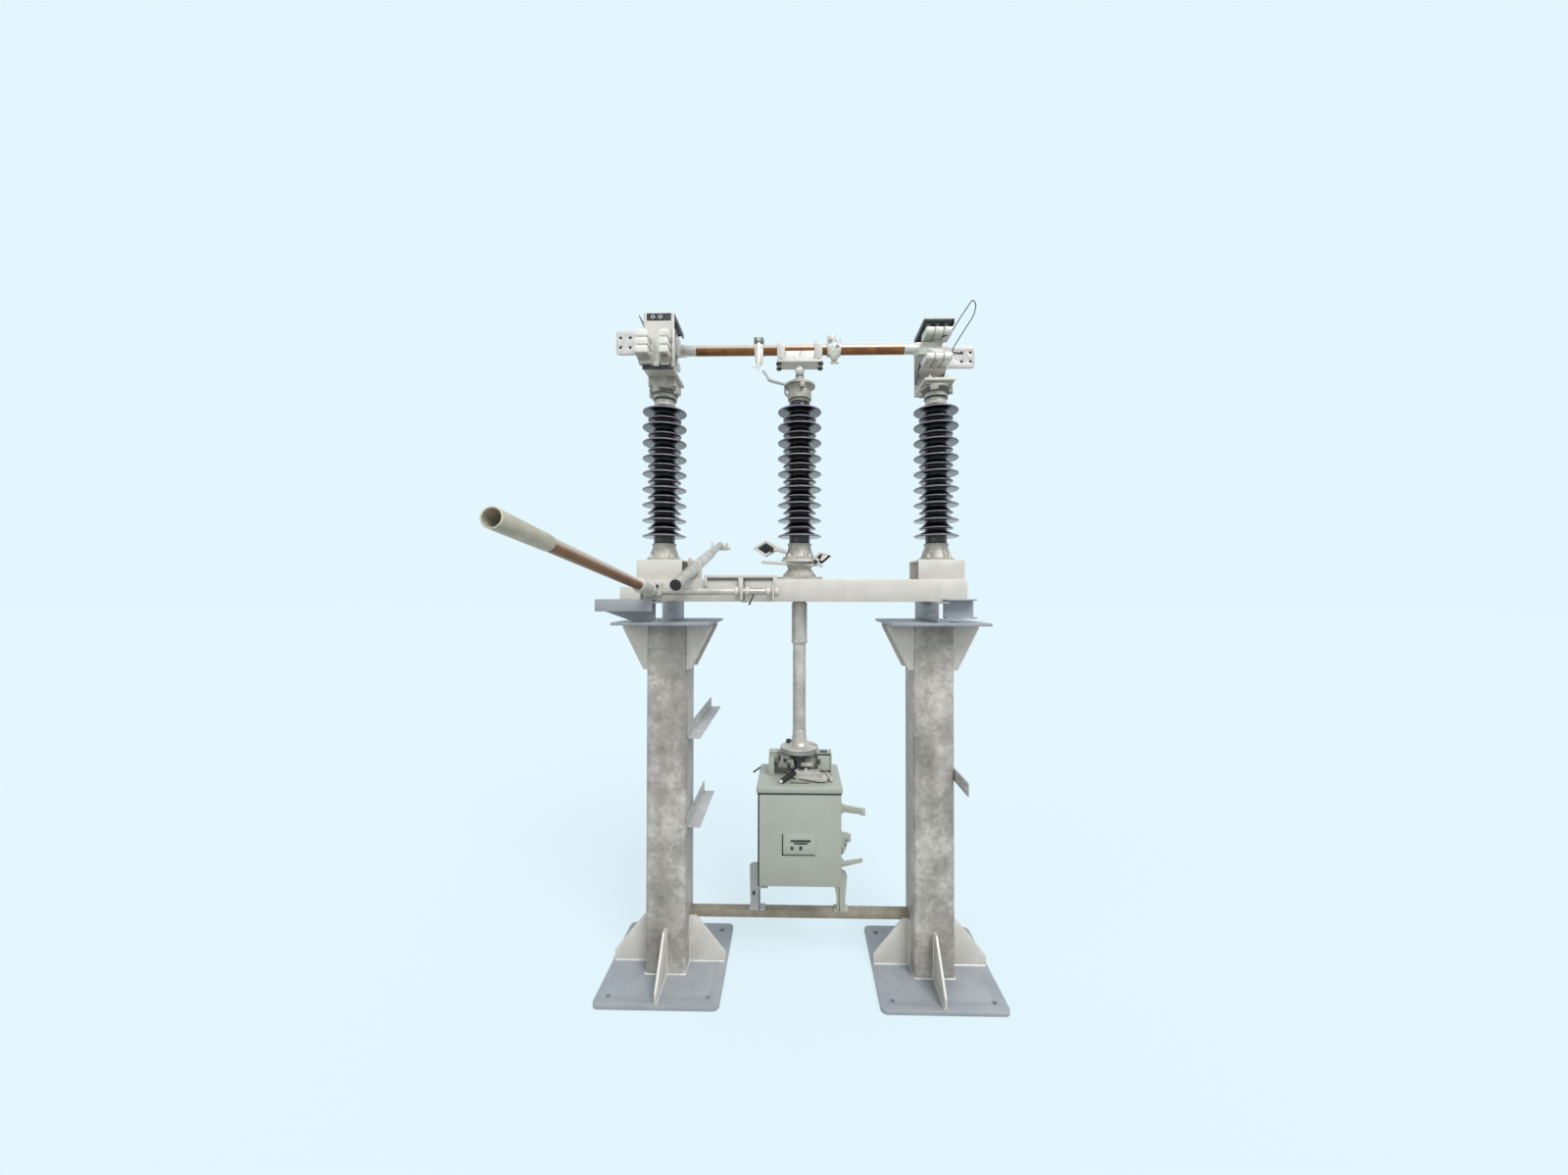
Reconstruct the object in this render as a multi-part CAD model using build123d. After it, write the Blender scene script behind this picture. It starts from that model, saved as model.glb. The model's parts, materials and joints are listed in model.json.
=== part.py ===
"""Three-post centre-rotating disconnect switch with one earthing blade.

Millimetres, +Z up.  The origin is the centre of the left pedestal's anchor bolts,
on the underside of its base plate.  +X runs along the beam to the right-hand post
and -Y is the side of the operating box's front.
"""
from build123d import *
from math import cos, radians, sin
import os

# Row of posts: the pedestals stand inboard of the outer insulators
post_pitch = 599.0
pedestal_inset = 33.0
left_post_x = -pedestal_inset
centre_x = left_post_x + post_pitch
right_post_x = centre_x + post_pitch
right_pedestal_x = right_post_x - pedestal_inset

# Pedestals
base_plate_side = 500.0
base_plate_thick = 16.0
base_plate_corner = 25.0
anchor_pitch = 400.0
anchor_hole = 20.0
column_side = 170.0
column_wall = 6.0
column_corner = 12.0
column_height = 1480.0
cap_plate_side = 400.0
cap_plate_thick = 12.0
gusset_thick = 10.0
base_gusset_reach = 158.0
base_gusset_height = 198.0
base_gusset_toe = 42.0
base_gusset_top = 30.0
cap_gusset_reach = 108.0
cap_gusset_height = 195.0
cap_gusset_toe = 16.0
cap_gusset_foot = 18.0

# Cross bar, mechanism rails and lug
bar_top = 233.0
bar_width = 45.0
bar_depth = 30.0
bar_front = 5.0
bar_wall = 5.0
rail_leg = 55.0
rail_wall = 5.0
upper_rail_length = 600.0
lower_rail_length = 390.0
rail_start = -60.0
upper_rail_top = 1057.0
lower_rail_top = 678.0
rail_hole = 14.0
lug_bottom = 838.0
lug_height = 52.0
lug_length = 223.0
lug_thick = 6.0
lug_front = -243.0
lug_hole_edge = 22.0

# Beam and its cross channels
channel_height = 84.0
channel_flange = 47.0
channel_wall = 6.0
channel_length = 380.0
channel_web_offset = 47.0
channel_hole = 14.0
side_channel_length = 125.0
side_channel_height = 80.0
side_channel_flange = 50.0
side_channel_wall = 6.0
beam_depth = 200.0
beam_height = 95.0
beam_wall = 6.0
beam_overhang = 103.0
outrigger_reach = 235.0
outrigger_rise = 44.0
outrigger_height = 50.0
outrigger_width = 55.0
outrigger_wall = 6.0

# Outer pedestal boxes and the centre bearing
box_length = 195.0
box_depth = 170.0
box_height = 84.0
box_wall = 8.0
bearing_plate = 190.0
bearing_plate_thick = 10.0
bearing_height = 75.0
bearing_base_radius = 72.0
bearing_top_radius = 50.0
bearing_bore = 28.8
running_gap = 0.3

# Post insulators
foot_flange_radius = 74.0
foot_flange_thick = 10.0
foot_height = 74.0
foot_neck_radius = 47.0
shed_pitch = 68.6
large_sheds = 9
large_shed_radius = 96.5
small_shed_radius = 73.5
insulator_core_radius = 46.0
first_shed_rise = 41.0
shed_root = 17.0
shed_rim = 5.0
shed_slope = 9.0
insulator_height = 624.0
neck_height = 11.0
neck_radius = 42.0
cap_height = 58.0
cap_bottom_radius = 52.0
cap_top_radius = 66.0

# Jaws: depths are measured from the post axis towards the closed side
jaw_width = 130.0
jaw_plate = 6.0
jaw_mouth = 60.0
jaw_back = 120.0
jaw_roof_rise = 101.0
jaw_shelf_start = 25.0
jaw_base_width = 130.0
jaw_base_thick = 12.0
jaw_base_front = 70.0
left_base_rise = 29.0
right_base_rise = 0.0
finger_width = 35.0
finger_gap = 3.0
finger_body = 32.0
finger_round = 10.0
fingers_a_side = 3
finger_arm = 8.0
contact_clearance = 0.4
pad_thick = 10.0
pad_height = 100.0
left_pad_reach = 178.0
right_pad_reach = 210.0
pad_hole = 13.0
pad_pitch = 41.0
pad_hole_edge = 19.0
left_pad_rise = -20.0
right_pad_rise = 15.0
pad_inset = 60.0

# Earthing contact on the left jaw's back plate
earth_blade_x = -34.0
earth_stack_width = 42.0
earth_stack_depth = 66.0
earth_stack_drop = 95.0
earth_block_height = 30.0
earth_block_gap = 3.0
earth_blocks = 3
earth_tongue_width = 26.0
earth_tongue_thick = 3.0

# Turning centre post and main blade
lever_thick = 12.0
lever_radius = 80.0
lever_arm = 60.0
clamp_reach = 158.0
clamp_leg = 44.0
clamp_wall = 6.0
dome_height = 42.0
dome_rim = 8.0
dome_radius = 69.0
ball_radius = 24.0
ball_neck_radius = 20.0
head_gap = 53.5
bracket_length = 203.0
bracket_width = 70.0
bracket_thick = 14.0
saddle_height = 35.0
saddle_length = 62.0
saddle_width = 40.0
saddle_hold = 0.6
saddle_gap = 1.5
blade_radius = 22.5
blade_wall = 4.0
blade_tube_half = 461.0
contact_neck = 29.0
contact_length = 135.0
contact_chamfer = 12.0
contact_height = 78.0
contact_thick = 20.0
strap_offset = 82.0
strap_width = 34.0
strap_wall = 4.0
left_clamp_offset = -180.0
left_clamp_width = 43.0
right_clamp_offset = 150.0
right_clamp_width = 70.0
clamp_ring = 7.0
clamp_tip = 4.0
clamp_tail_thick = 14.0
left_clamp_top = 46.0
left_clamp_tail = 106.0
right_clamp_top = 56.0
right_clamp_tail = 74.0
spur_radius = 3.0
spur_length = 30.0
crank_thick = 8.0
crank_reach = 166.0
crank_rise = 71.0
crank_width = 7.0

# Operating box and drive pipe
housing_width = 345.0
housing_depth = 280.0
housing_bottom = 421.0
housing_height = 385.0
lid_overhang = 5.0
lid_height = 23.0
side_lever_reach = 112.0
side_lever_height = 34.0
side_lever_rise = 246.0
side_lever_thick = 12.0
side_lever_y = 32.0
catch_rise = 68.0
catch_height = 88.0
catch_width = 34.0
leg_flange = 45.0
leg_wall = 6.0
leg_top = 466.0
nameplate_width = 134.0
nameplate_height = 86.0
nameplate_thick = 3.0
nameplate_rise = 178.0
pipe_radius = 28.5
pipe_wall = 4.0
coupling_z = 945.0
coupling_radius = 90.0
coupling_thick = 14.0
sleeve_height = 177.0
sleeve_radius = 34.0
output_shaft_radius = 20.0
yoke_right = 142.0
yoke_right_foot = 62.0
yoke_left = 134.0
yoke_left_foot = 26.0
yoke_front = -10.0
yoke_back = 66.0
yoke_wall = 6.0
yoke_drop = 8.0
interlock_left = -30.0
interlock_front = -92.0
interlock_length = 126.0
interlock_depth = 42.0
interlock_height = 26.0
interlock_step_x = 20.0
interlock_step_y = -60.0
interlock_step_length = 84.0
interlock_step_depth = 34.0
interlock_step_height = 44.0
grip_x = -58.0
grip_y = -114.0
grip_turn = 38.0
grip_radius = 11.0
grip_length = 66.0

# Earthing switch
shaft_radius = 14.0
shaft_y = -165.0
shaft_rise = 42.0
shaft_left = -160.0
shaft_right = 475.0
bearing_strap = 8.0
bearing_edge = 12.0
middle_bearing_x = 325.0
outer_bearing_length = 84.0
outer_bearing_half = 22.0
outer_bearing_end = 6.0
earth_blade_length = 1115.0
earth_rest_angle = 7.0
earth_tube_radius = 19.0
earth_tube_wall = 2.5
earth_root = 95.0
earth_socket_floor = 44.0
earth_socket_radius = 24.0
earth_hub_radius = 27.0
earth_hub_length = 64.0
earth_sleeve_length = 225.0
earth_sleeve_root_radius = 20.8
earth_sleeve_tip_radius = 22.5
earth_sleeve_wall = 2.0

# Interphase linkage tube
link_radius = 24.0
link_wall = 3.5
link_x = 103.0
link_rise = 13.0
link_front = -360.0
link_back = 750.0
link_front_drop = 31.0
link_thin_from = 420.0
link_thin_radius = 19.0
link_clamp_wall = 4.0
link_clamp_length = 40.0

# Levels worked out from the heights above
column_base = base_plate_thick
cap_plate_z = column_base + column_height
channel_z = cap_plate_z + cap_plate_thick
beam_z = channel_z + channel_height
beam_top = beam_z + beam_height
box_top = beam_top + box_height
insulator_z = box_top + foot_height
neck_z = insulator_z + insulator_height
cap_z = neck_z + neck_height
head_z = cap_z + cap_height
lever_z = beam_top + bearing_height
bracket_z = head_z + dome_height + head_gap
saddle_z = bracket_z + bracket_thick
blade_z = saddle_z + saddle_height + blade_radius
jaw_roof_z = blade_z + jaw_roof_rise
earth_stack_bottom = blade_z - earth_stack_drop
shaft_z = beam_z + shaft_rise
link_front_z = beam_top - link_front_drop
outrigger_z = channel_z + outrigger_rise
contact_start = blade_tube_half + contact_neck
contact_reach = contact_start + contact_length
lid_z = housing_bottom + housing_height
lid_top = lid_z + lid_height
disc_top = coupling_z + coupling_thick


def block(x0, x1, y0, y1, z0, z1):
    centre = ((x0 + x1) / 2, (y0 + y1) / 2, (z0 + z1) / 2)
    return Pos(*centre) * Box(abs(x1 - x0), abs(y1 - y0), abs(z1 - z0))


def rod(radius, z0, z1, x=0.0, y=0.0):
    return Pos(x, y, (z0 + z1) / 2) * Cylinder(radius, z1 - z0)


def rod_x(radius, x0, x1, y, z):
    return Pos((x0 + x1) / 2, y, z) * Rot(0, 90, 0) * Cylinder(radius, x1 - x0)


def rod_y(radius, y0, y1, x, z):
    return Pos(x, (y0 + y1) / 2, z) * Rot(90, 0, 0) * Cylinder(radius, y1 - y0)


def slab_xz(points, y0, y1):
    face = make_face(Plane.XZ * Polyline(*points, close=True))
    return Pos(0, y1, 0) * extrude(face, amount=y1 - y0, dir=(0, -1, 0))


def slab_yz(points, x0, x1):
    face = make_face(Plane.YZ * Polyline(*points, close=True))
    return Pos(x0, 0, 0) * extrude(face, amount=x1 - x0, dir=(1, 0, 0))


def slab_xy(points, z0, z1):
    face = make_face(Polyline(*points, close=True))
    return Pos(0, 0, z0) * extrude(face, amount=z1 - z0, dir=(0, 0, 1))


def turned(points):
    return revolve(make_face(Plane.XZ * Polyline(*points, close=True)), axis=Axis.Z)


def joined(solids):
    return Compound(children=[piece for group in solids for piece in group.solids()])


def saved(name, shape):
    shape.label = name
    export_step(shape, f"parts/{name}.step")


# Pedestals

def base_plate(x):
    plate = Pos(x, 0, base_plate_thick / 2) * Box(base_plate_side, base_plate_side, base_plate_thick)
    plate = fillet(plate.edges().filter_by(Axis.Z), base_plate_corner)
    for sx in (-1, 1):
        for sy in (-1, 1):
            hole_at = (x + sx * anchor_pitch / 2, sy * anchor_pitch / 2, base_plate_thick / 2)
            plate -= Pos(*hole_at) * Cylinder(anchor_hole / 2, base_plate_thick * 2)
    return plate


def column(x):
    middle = column_base + column_height / 2
    outer = Pos(x, 0, middle) * Box(column_side, column_side, column_height)
    outer = fillet(outer.edges().filter_by(Axis.Z), column_corner)
    bore = column_side - 2 * column_wall
    inner = Pos(x, 0, middle) * Box(bore, bore, column_height * 2)
    inner = fillet(inner.edges().filter_by(Axis.Z), column_corner - column_wall)
    return outer - inner


def base_gussets(x):
    face = column_side / 2
    reach = face + base_gusset_reach
    points = [
        (face, column_base),
        (reach, column_base),
        (reach, column_base + base_gusset_toe),
        (face + base_gusset_top, column_base + base_gusset_height),
        (face, column_base + base_gusset_height),
    ]
    rib = slab_xz(points, -gusset_thick / 2, gusset_thick / 2)
    return [Pos(x, 0, 0) * Rot(0, 0, 90 * turn) * rib for turn in range(4)]


def cap_gussets(x):
    face = column_side / 2
    points = [
        (face, cap_plate_z),
        (face + cap_gusset_reach, cap_plate_z),
        (face + cap_gusset_reach, cap_plate_z - cap_gusset_toe),
        (face + cap_gusset_foot, cap_plate_z - cap_gusset_height),
        (face, cap_plate_z - cap_gusset_height),
    ]
    inner = face - column_corner - gusset_thick
    ribs = []
    for side in (0, 180):
        for y in (-inner - gusset_thick, inner):
            rib = slab_xz(points, y, y + gusset_thick)
            ribs.append(Pos(x, 0, 0) * Rot(0, 0, side) * rib)
    return ribs


def cap_plate(x):
    return Pos(x, 0, cap_plate_z + cap_plate_thick / 2) * Box(cap_plate_side, cap_plate_side, cap_plate_thick)


def cross_bar():
    face = column_side / 2
    left, right = face, right_pedestal_x - face
    front = bar_front
    flange = block(left, right, front, front + bar_width, bar_top - bar_wall, bar_top)
    leg = block(left, right, front, front + bar_wall, bar_top - bar_depth, bar_top)
    return flange + leg


def mechanism_rails():
    face = column_side / 2
    rails = []
    for top, length in ((upper_rail_top, upper_rail_length), (lower_rail_top, lower_rail_length)):
        y0, y1 = rail_start, rail_start + length
        web = block(face, face + rail_wall, y0, y1, top - rail_leg, top)
        foot = block(face, face + rail_leg, y0, y1, top - rail_leg, top - rail_leg + rail_wall)
        rail = web + foot
        for share in (0.3, 0.9):
            y = y0 + share * length
            rail -= rod_x(rail_hole / 2, face + 0.1, face + rail_leg, y, top - rail_leg * 0.4)
        rails.append(rail)
    return rails


def column_lug():
    face = right_pedestal_x + column_side / 2
    back = lug_front + lug_length
    middle = lug_bottom + lug_height / 2
    lug = block(face, face + lug_thick, lug_front, back, lug_bottom, lug_bottom + lug_height)
    return lug - rod_x(rail_hole / 2, face - 1, face + lug_thick + 1, lug_front + lug_hole_edge, middle)


# Cross channels, outrigger and beam

def cross_channel(x, outward):
    web = x - outward * channel_web_offset
    tip = web + outward * channel_flange
    half = channel_length / 2
    top = channel_z + channel_height
    wall = channel_wall
    channel = block(web, tip, -half, half, channel_z, top)
    channel -= block(web + outward * wall, tip + outward, -half - 1, half + 1, channel_z + wall, top - wall)
    for share in (0.55, 0.8):
        hole = rod_x(channel_hole / 2, min(web, tip) - 1, max(web, tip) + 1, -half * share,
                     channel_z + channel_height / 2)
        channel -= hole
    return channel


def right_outrigger():
    """Short channel on the beam's front face, open to the front, past the right channel's tips."""
    x0 = right_post_x
    x1 = right_post_x + side_channel_length
    back = -beam_depth / 2
    z0 = beam_z + side_channel_wall * 2 - side_channel_height
    z1 = z0 + side_channel_height
    front = back - side_channel_flange
    body = block(x0, x1, front, back, z0, z1)
    wall = side_channel_wall
    return body - block(x0 - 1, x1 + 1, front - 1, back - wall, z0 + wall, z1 - wall)


def shaft_outrigger():
    """Angle that carries the earthing shaft's outer end from the tips of the left channel."""
    x1 = left_post_x
    x0 = left_post_x - outrigger_reach
    y0 = -channel_length / 2
    top = outrigger_z + outrigger_height
    top_leg = block(x0, x1, y0, y0 + outrigger_width, top - outrigger_wall, top)
    front_leg = block(x0, x1, y0, y0 + outrigger_wall, outrigger_z, top)
    brace = slab_xz([
        (x1, channel_z + 1), (x1, top - outrigger_wall), (x0 + 20, top - outrigger_wall),
        (x0 + 20, outrigger_z), (x1 - outrigger_reach * 0.4, channel_z + 1),
    ], y0 + outrigger_width - outrigger_wall, y0 + outrigger_width)
    return top_leg + front_leg + brace


def base_beam():
    x0, x1 = left_post_x - beam_overhang, right_post_x + beam_overhang
    half = beam_depth / 2
    wall = beam_wall
    beam = block(x0, x1, -half, half, beam_z, beam_top)
    beam -= block(x0 - 1, x1 + 1, -half + wall, half - wall, beam_z + wall, beam_top - wall)
    pass_radius = bearing_bore + 6.0
    return beam - rod(pass_radius, beam_z - 1, beam_top + 1, centre_x)


def pedestal_box(x):
    half = box_length / 2
    deep = box_depth / 2
    box = block(x - half, x + half, -deep, deep, beam_top, box_top)
    return box - block(x - half - 1, x + half + 1, -deep + box_wall, deep - box_wall,
                       beam_top - 1, box_top - box_wall)


def centre_bearing():
    half = bearing_plate / 2
    z0 = beam_top
    plate = block(-half, half, -half, half, z0, z0 + bearing_plate_thick)
    housing = turned([
        (bearing_bore, z0 + bearing_plate_thick),
        (bearing_base_radius, z0 + bearing_plate_thick),
        (bearing_base_radius, z0 + bearing_plate_thick + 10),
        (bearing_top_radius, z0 + bearing_height * 0.62),
        (bearing_top_radius + 6, z0 + bearing_height * 0.8),
        (bearing_top_radius + 6, z0 + bearing_height - running_gap),
        (bearing_bore, z0 + bearing_height - running_gap),
    ])
    body = plate - rod(bearing_bore, z0 - 1, z0 + bearing_plate_thick + 1) + housing
    return Pos(centre_x, 0, 0) * body


# Post insulators with their metal ends

def foot(x, z0, height):
    body = turned([
        (0, z0),
        (foot_flange_radius, z0),
        (foot_flange_radius, z0 + foot_flange_thick),
        (foot_neck_radius, z0 + height * 0.85),
        (foot_neck_radius, z0 + height),
        (0, z0 + height),
    ])
    return Pos(x, 0, 0) * body


def insulator(x):
    outline = [(0, insulator_z), (insulator_core_radius, insulator_z)]
    for index in range(2 * large_sheds - 1):
        middle = insulator_z + first_shed_rise + index * shed_pitch / 2
        reach = small_shed_radius if index % 2 else large_shed_radius
        outline += [
            (insulator_core_radius, middle - shed_root * 0.7),
            (reach, middle - shed_slope),
            (reach, middle - shed_slope + shed_rim),
            (insulator_core_radius, middle + shed_root * 0.8),
        ]
    outline += [(insulator_core_radius, neck_z), (0, neck_z)]
    return Pos(x, 0, 0) * turned(outline)


def outer_cap(x, rise):
    top = head_z + rise
    height = top - cap_z
    body = turned([
        (0, neck_z),
        (neck_radius, neck_z),
        (neck_radius, cap_z),
        (cap_bottom_radius, cap_z),
        (cap_bottom_radius, cap_z + height * 0.35),
        (cap_top_radius, cap_z + height * 0.8),
        (cap_top_radius, top),
        (0, top),
    ])
    return Pos(x, 0, 0) * body


# Jaws, built on the origin with the closed side towards +Y

def jaw_frame(rise):
    half = jaw_width / 2
    bottom = head_z + rise
    web = block(-half, half, jaw_back, jaw_back + jaw_plate, bottom, jaw_roof_z)
    roof = block(-half, half, -jaw_mouth, jaw_back + jaw_plate, jaw_roof_z, jaw_roof_z + jaw_plate)
    shelf_top = lower_finger_z() - finger_body
    shelf = block(-half, half, jaw_shelf_start, jaw_back, shelf_top - jaw_plate, shelf_top)
    wide = jaw_base_width / 2
    base = block(-wide, wide, -jaw_base_front, jaw_back, bottom, bottom + jaw_base_thick)
    return web + roof + shelf + base


def lower_finger_z():
    return blade_z - contact_height / 2 - contact_clearance


def upper_finger_z():
    return blade_z + contact_height / 2 + contact_clearance


def jaw_fingers():
    """Rounded contact blocks, a row above the blade and a row below it."""
    fingers = []
    pitch = finger_width + finger_gap
    roof_room = jaw_roof_z - upper_finger_z()
    for index in range(fingers_a_side):
        x = (index - (fingers_a_side - 1) / 2) * pitch
        x0, x1 = x - finger_width / 2, x + finger_width / 2
        top = lower_finger_z()
        lower = block(x0, x1, -jaw_mouth, jaw_shelf_start + finger_body, top - finger_body, top)
        front = [e for e in lower.edges().filter_by(Axis.X) if e.center().Y < -jaw_mouth + 1]
        fingers.append(fillet(front, finger_round))
        bottom = upper_finger_z()
        upper = block(x0, x1, -jaw_mouth, jaw_shelf_start, bottom, bottom + finger_body)
        front = [e for e in upper.edges().filter_by(Axis.X) if e.center().Y < -jaw_mouth + 1]
        upper = fillet(front, finger_round)
        arm = block(x0, x1, jaw_shelf_start - finger_arm, jaw_shelf_start, bottom, bottom + roof_room)
        fingers.append(upper + arm)
    return fingers


def terminal_pad(reach, rise):
    half = jaw_width / 2
    back = jaw_back - pad_thick
    middle = blade_z + rise
    z0, z1 = middle - pad_height / 2, middle + pad_height / 2
    pad = block(half - pad_inset, reach, back, back + pad_thick, z0, z1)
    for x in (reach - pad_hole_edge, reach - pad_hole_edge - pad_pitch):
        for z in (middle - pad_pitch / 2, middle + pad_pitch / 2):
            pad -= rod_y(pad_hole / 2, back - 1, back + pad_thick + 1, x, z)
    return pad


def placed_jaw(shape, side):
    if side == "right":
        return Pos(right_post_x, 0, 0) * shape
    return Pos(left_post_x, 0, 0) * Rot(0, 0, 180) * shape


def earthing_contact():
    """Two stacks of contact blocks on the left jaw's back plate, with a tongue between."""
    gap = 2 * (earth_sleeve_tip_radius + contact_clearance)
    back = -jaw_back - jaw_plate
    pieces = []
    for index in range(earth_blocks):
        z0 = earth_stack_bottom + index * (earth_block_height + earth_block_gap)
        z1 = z0 + earth_block_height
        for side in (-1, 1):
            near = earth_blade_x + side * gap / 2
            far = near + side * earth_stack_width
            pieces.append(block(min(near, far), max(near, far), back - earth_stack_depth, back, z0, z1))
    half = earth_tongue_width / 2
    pieces.append(block(earth_blade_x - half, earth_blade_x + half, back - earth_tongue_thick, back,
                        earth_stack_bottom, earth_stack_bottom + 90))
    return pieces


# Turning centre post

def turning_lever():
    z0, z1 = lever_z, lever_z + lever_thick
    plate = rod(lever_radius, z0, z1)
    middle = (z0 + z1) / 2
    half_diagonal = clamp_leg
    centre = clamp_reach - half_diagonal
    plate += block(-centre, centre, -lever_arm / 2, lever_arm / 2, z0, z1)
    side = half_diagonal * 2 ** 0.5
    bore = side - 2 * clamp_wall
    for direction in (-1, 1):
        clamp_at = Pos(direction * (centre + 6), 0, middle) * Rot(0, 45, 0)
        plate += clamp_at * Box(side, lever_arm, side)
        plate -= clamp_at * Box(bore, lever_arm * 2, bore)
    return Pos(centre_x, 0, 0) * plate


def centre_cap():
    z0 = head_z
    body = turned([
        (0, neck_z),
        (neck_radius, neck_z),
        (neck_radius, cap_z),
        (cap_bottom_radius, cap_z),
        (cap_bottom_radius, z0),
        (dome_radius, z0),
        (dome_radius, z0 + dome_rim),
        (dome_radius * 0.8, z0 + dome_rim + (dome_height - dome_rim) * 0.5),
        (ball_neck_radius, z0 + dome_height),
        (ball_neck_radius, bracket_z),
        (0, bracket_z),
    ])
    ball = Pos(0, 0, bracket_z - ball_radius * 0.6) * Sphere(ball_radius)
    ball &= block(-50, 50, -50, 50, z0, bracket_z)
    return Pos(centre_x, 0, 0) * (body + ball)


def blade_bracket():
    half = bracket_length / 2
    wide = bracket_width / 2
    plate = block(-half, half, -wide, wide, bracket_z, saddle_z)
    ring = rod_x(blade_radius, -half, half, 0, blade_z)
    saddle_top = blade_z - saddle_hold * blade_radius
    for side in (-1, 1):
        x0, x1 = side * saddle_gap, side * (saddle_gap + saddle_length)
        saddle = block(min(x0, x1), max(x0, x1), -saddle_width / 2, saddle_width / 2, saddle_z, saddle_top)
        plate += saddle - ring
    return Pos(centre_x, 0, 0) * plate


def blade_strap(offset):
    x0, x1 = offset - strap_width / 2, offset + strap_width / 2
    outer = blade_radius + strap_wall
    strap = rod_x(outer, x0, x1, 0, blade_z) + block(x0, x1, -outer, outer, saddle_z, blade_z)
    strap -= rod_x(blade_radius, x0 - 1, x1 + 1, 0, blade_z)
    strap -= block(x0 - 1, x1 + 1, -blade_radius, blade_radius, saddle_z - 1, blade_z)
    return Pos(centre_x, 0, 0) * strap


def blade_tube():
    tube = rod_x(blade_radius, -blade_tube_half, blade_tube_half, 0, blade_z)
    tube -= rod_x(blade_radius - blade_wall, -blade_tube_half - 1, blade_tube_half + 1, 0, blade_z)
    return Pos(centre_x, 0, 0) * tube


def blade_end(side):
    half = contact_height / 2
    thick = contact_thick / 2
    cut = contact_chamfer
    shoulder = contact_start + contact_thick
    plug = rod_x(blade_radius, blade_tube_half, contact_start + cut, 0, blade_z)
    plate = slab_xz([
        (contact_start - cut, blade_z - blade_radius),
        (shoulder, blade_z - half),
        (contact_reach - cut, blade_z - half),
        (contact_reach, blade_z - half + cut),
        (contact_reach, blade_z + half - cut),
        (contact_reach - cut, blade_z + half),
        (shoulder, blade_z + half),
        (contact_start - cut, blade_z + blade_radius),
    ], -thick, thick)
    turn = 0 if side > 0 else 180
    return Pos(centre_x, 0, 0) * Rot(0, 0, turn) * (plug + plate)


def left_blade_clamp():
    """Ring with a tall lug on top and a tail that the crank arm's spur follows."""
    half = left_clamp_width / 2
    mid = left_clamp_offset
    x0, x1 = mid - half, mid + half
    outer = blade_radius + clamp_ring
    body = rod_x(outer, x0, x1, 0, blade_z)
    body += block(x0, x1, -outer, outer, blade_z, blade_z + left_clamp_top)
    tail = slab_xz([
        (x0 + clamp_tip, blade_z - blade_radius / 2),
        (x1, blade_z - blade_radius / 2),
        (x1, blade_z - left_clamp_tail * 0.7),
        (mid + clamp_tip, blade_z - left_clamp_tail),
        (mid - clamp_tip, blade_z - left_clamp_tail),
    ], -outer, -outer + clamp_tail_thick)
    spur_y, spur_z = -outer + clamp_tail_thick / 2, blade_z - left_clamp_tail + 2 * clamp_tip
    spur = rod_x(spur_radius, mid - spur_length, mid + half / 2, spur_y, spur_z)
    body = body + tail + spur
    return Pos(centre_x, 0, 0) * (body - rod_x(blade_radius, x0 - 1, x1 + 1, 0, blade_z))


def right_blade_clamp():
    half = right_clamp_width / 2
    mid = right_clamp_offset
    x0, x1 = mid - half, mid + half
    outer = blade_radius + clamp_ring
    body = rod_x(outer, x0, x1, 0, blade_z)
    lug_half = outer * 0.7
    top = blade_z + right_clamp_top
    body += block(x0 + clamp_tip, x1 - clamp_tip, -lug_half, lug_half, blade_z, top)
    tail = slab_xz([
        (x0, blade_z - blade_radius / 4),
        (x1, blade_z - blade_radius / 4),
        (mid + 3 * clamp_tip, blade_z - right_clamp_tail),
        (mid - 3 * clamp_tip, blade_z - right_clamp_tail),
    ], -outer, -outer + clamp_tail_thick)
    body = body + tail
    return Pos(centre_x, 0, 0) * (body - rod_x(blade_radius, x0 - 1, x1 + 1, 0, blade_z))


def crank_arm():
    """Curved flat arm from the centre cap's flange up towards the left clamp's tail."""
    rim = -dome_radius
    top = head_z + dome_rim
    tip = -crank_reach
    run = crank_reach - dome_radius
    outline = [
        (rim, head_z),
        (rim, top + crank_rise * 0.17),
        (rim - run * 0.44, top + crank_rise * 0.34),
        (rim - run * 0.67, top + crank_rise * 0.46),
        (rim - run * 0.76, top + crank_rise * 0.75),
        (tip + crank_width, top + crank_rise),
        (tip, top + crank_rise * 0.96),
        (rim - run * 0.86, top + crank_rise * 0.65),
        (rim - run * 0.74, top + crank_rise * 0.34),
        (rim - run * 0.48, top + crank_rise * 0.18),
        (rim - run * 0.1, head_z),
    ]
    return Pos(centre_x, 0, 0) * slab_xz(outline, -crank_thick, crank_thick)


def ring_z(outer, inner, z0, z1):
    return rod(outer, z0, z1) - rod(inner, z0 - 1, z1 + 1)


def drive_pipe():
    return Pos(centre_x, 0, 0) * ring_z(pipe_radius, pipe_radius - pipe_wall, disc_top, lever_z)


def pipe_coupling():
    disc = rod(coupling_radius, coupling_z, disc_top)
    hub = turned([
        (pipe_radius, disc_top),
        (pipe_radius + 16, disc_top),
        (pipe_radius + 4, disc_top + 22),
        (pipe_radius + 1.5, disc_top + 60),
        (pipe_radius, disc_top + 60),
    ])
    return Pos(centre_x, 0, 0) * (disc + hub)


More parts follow.
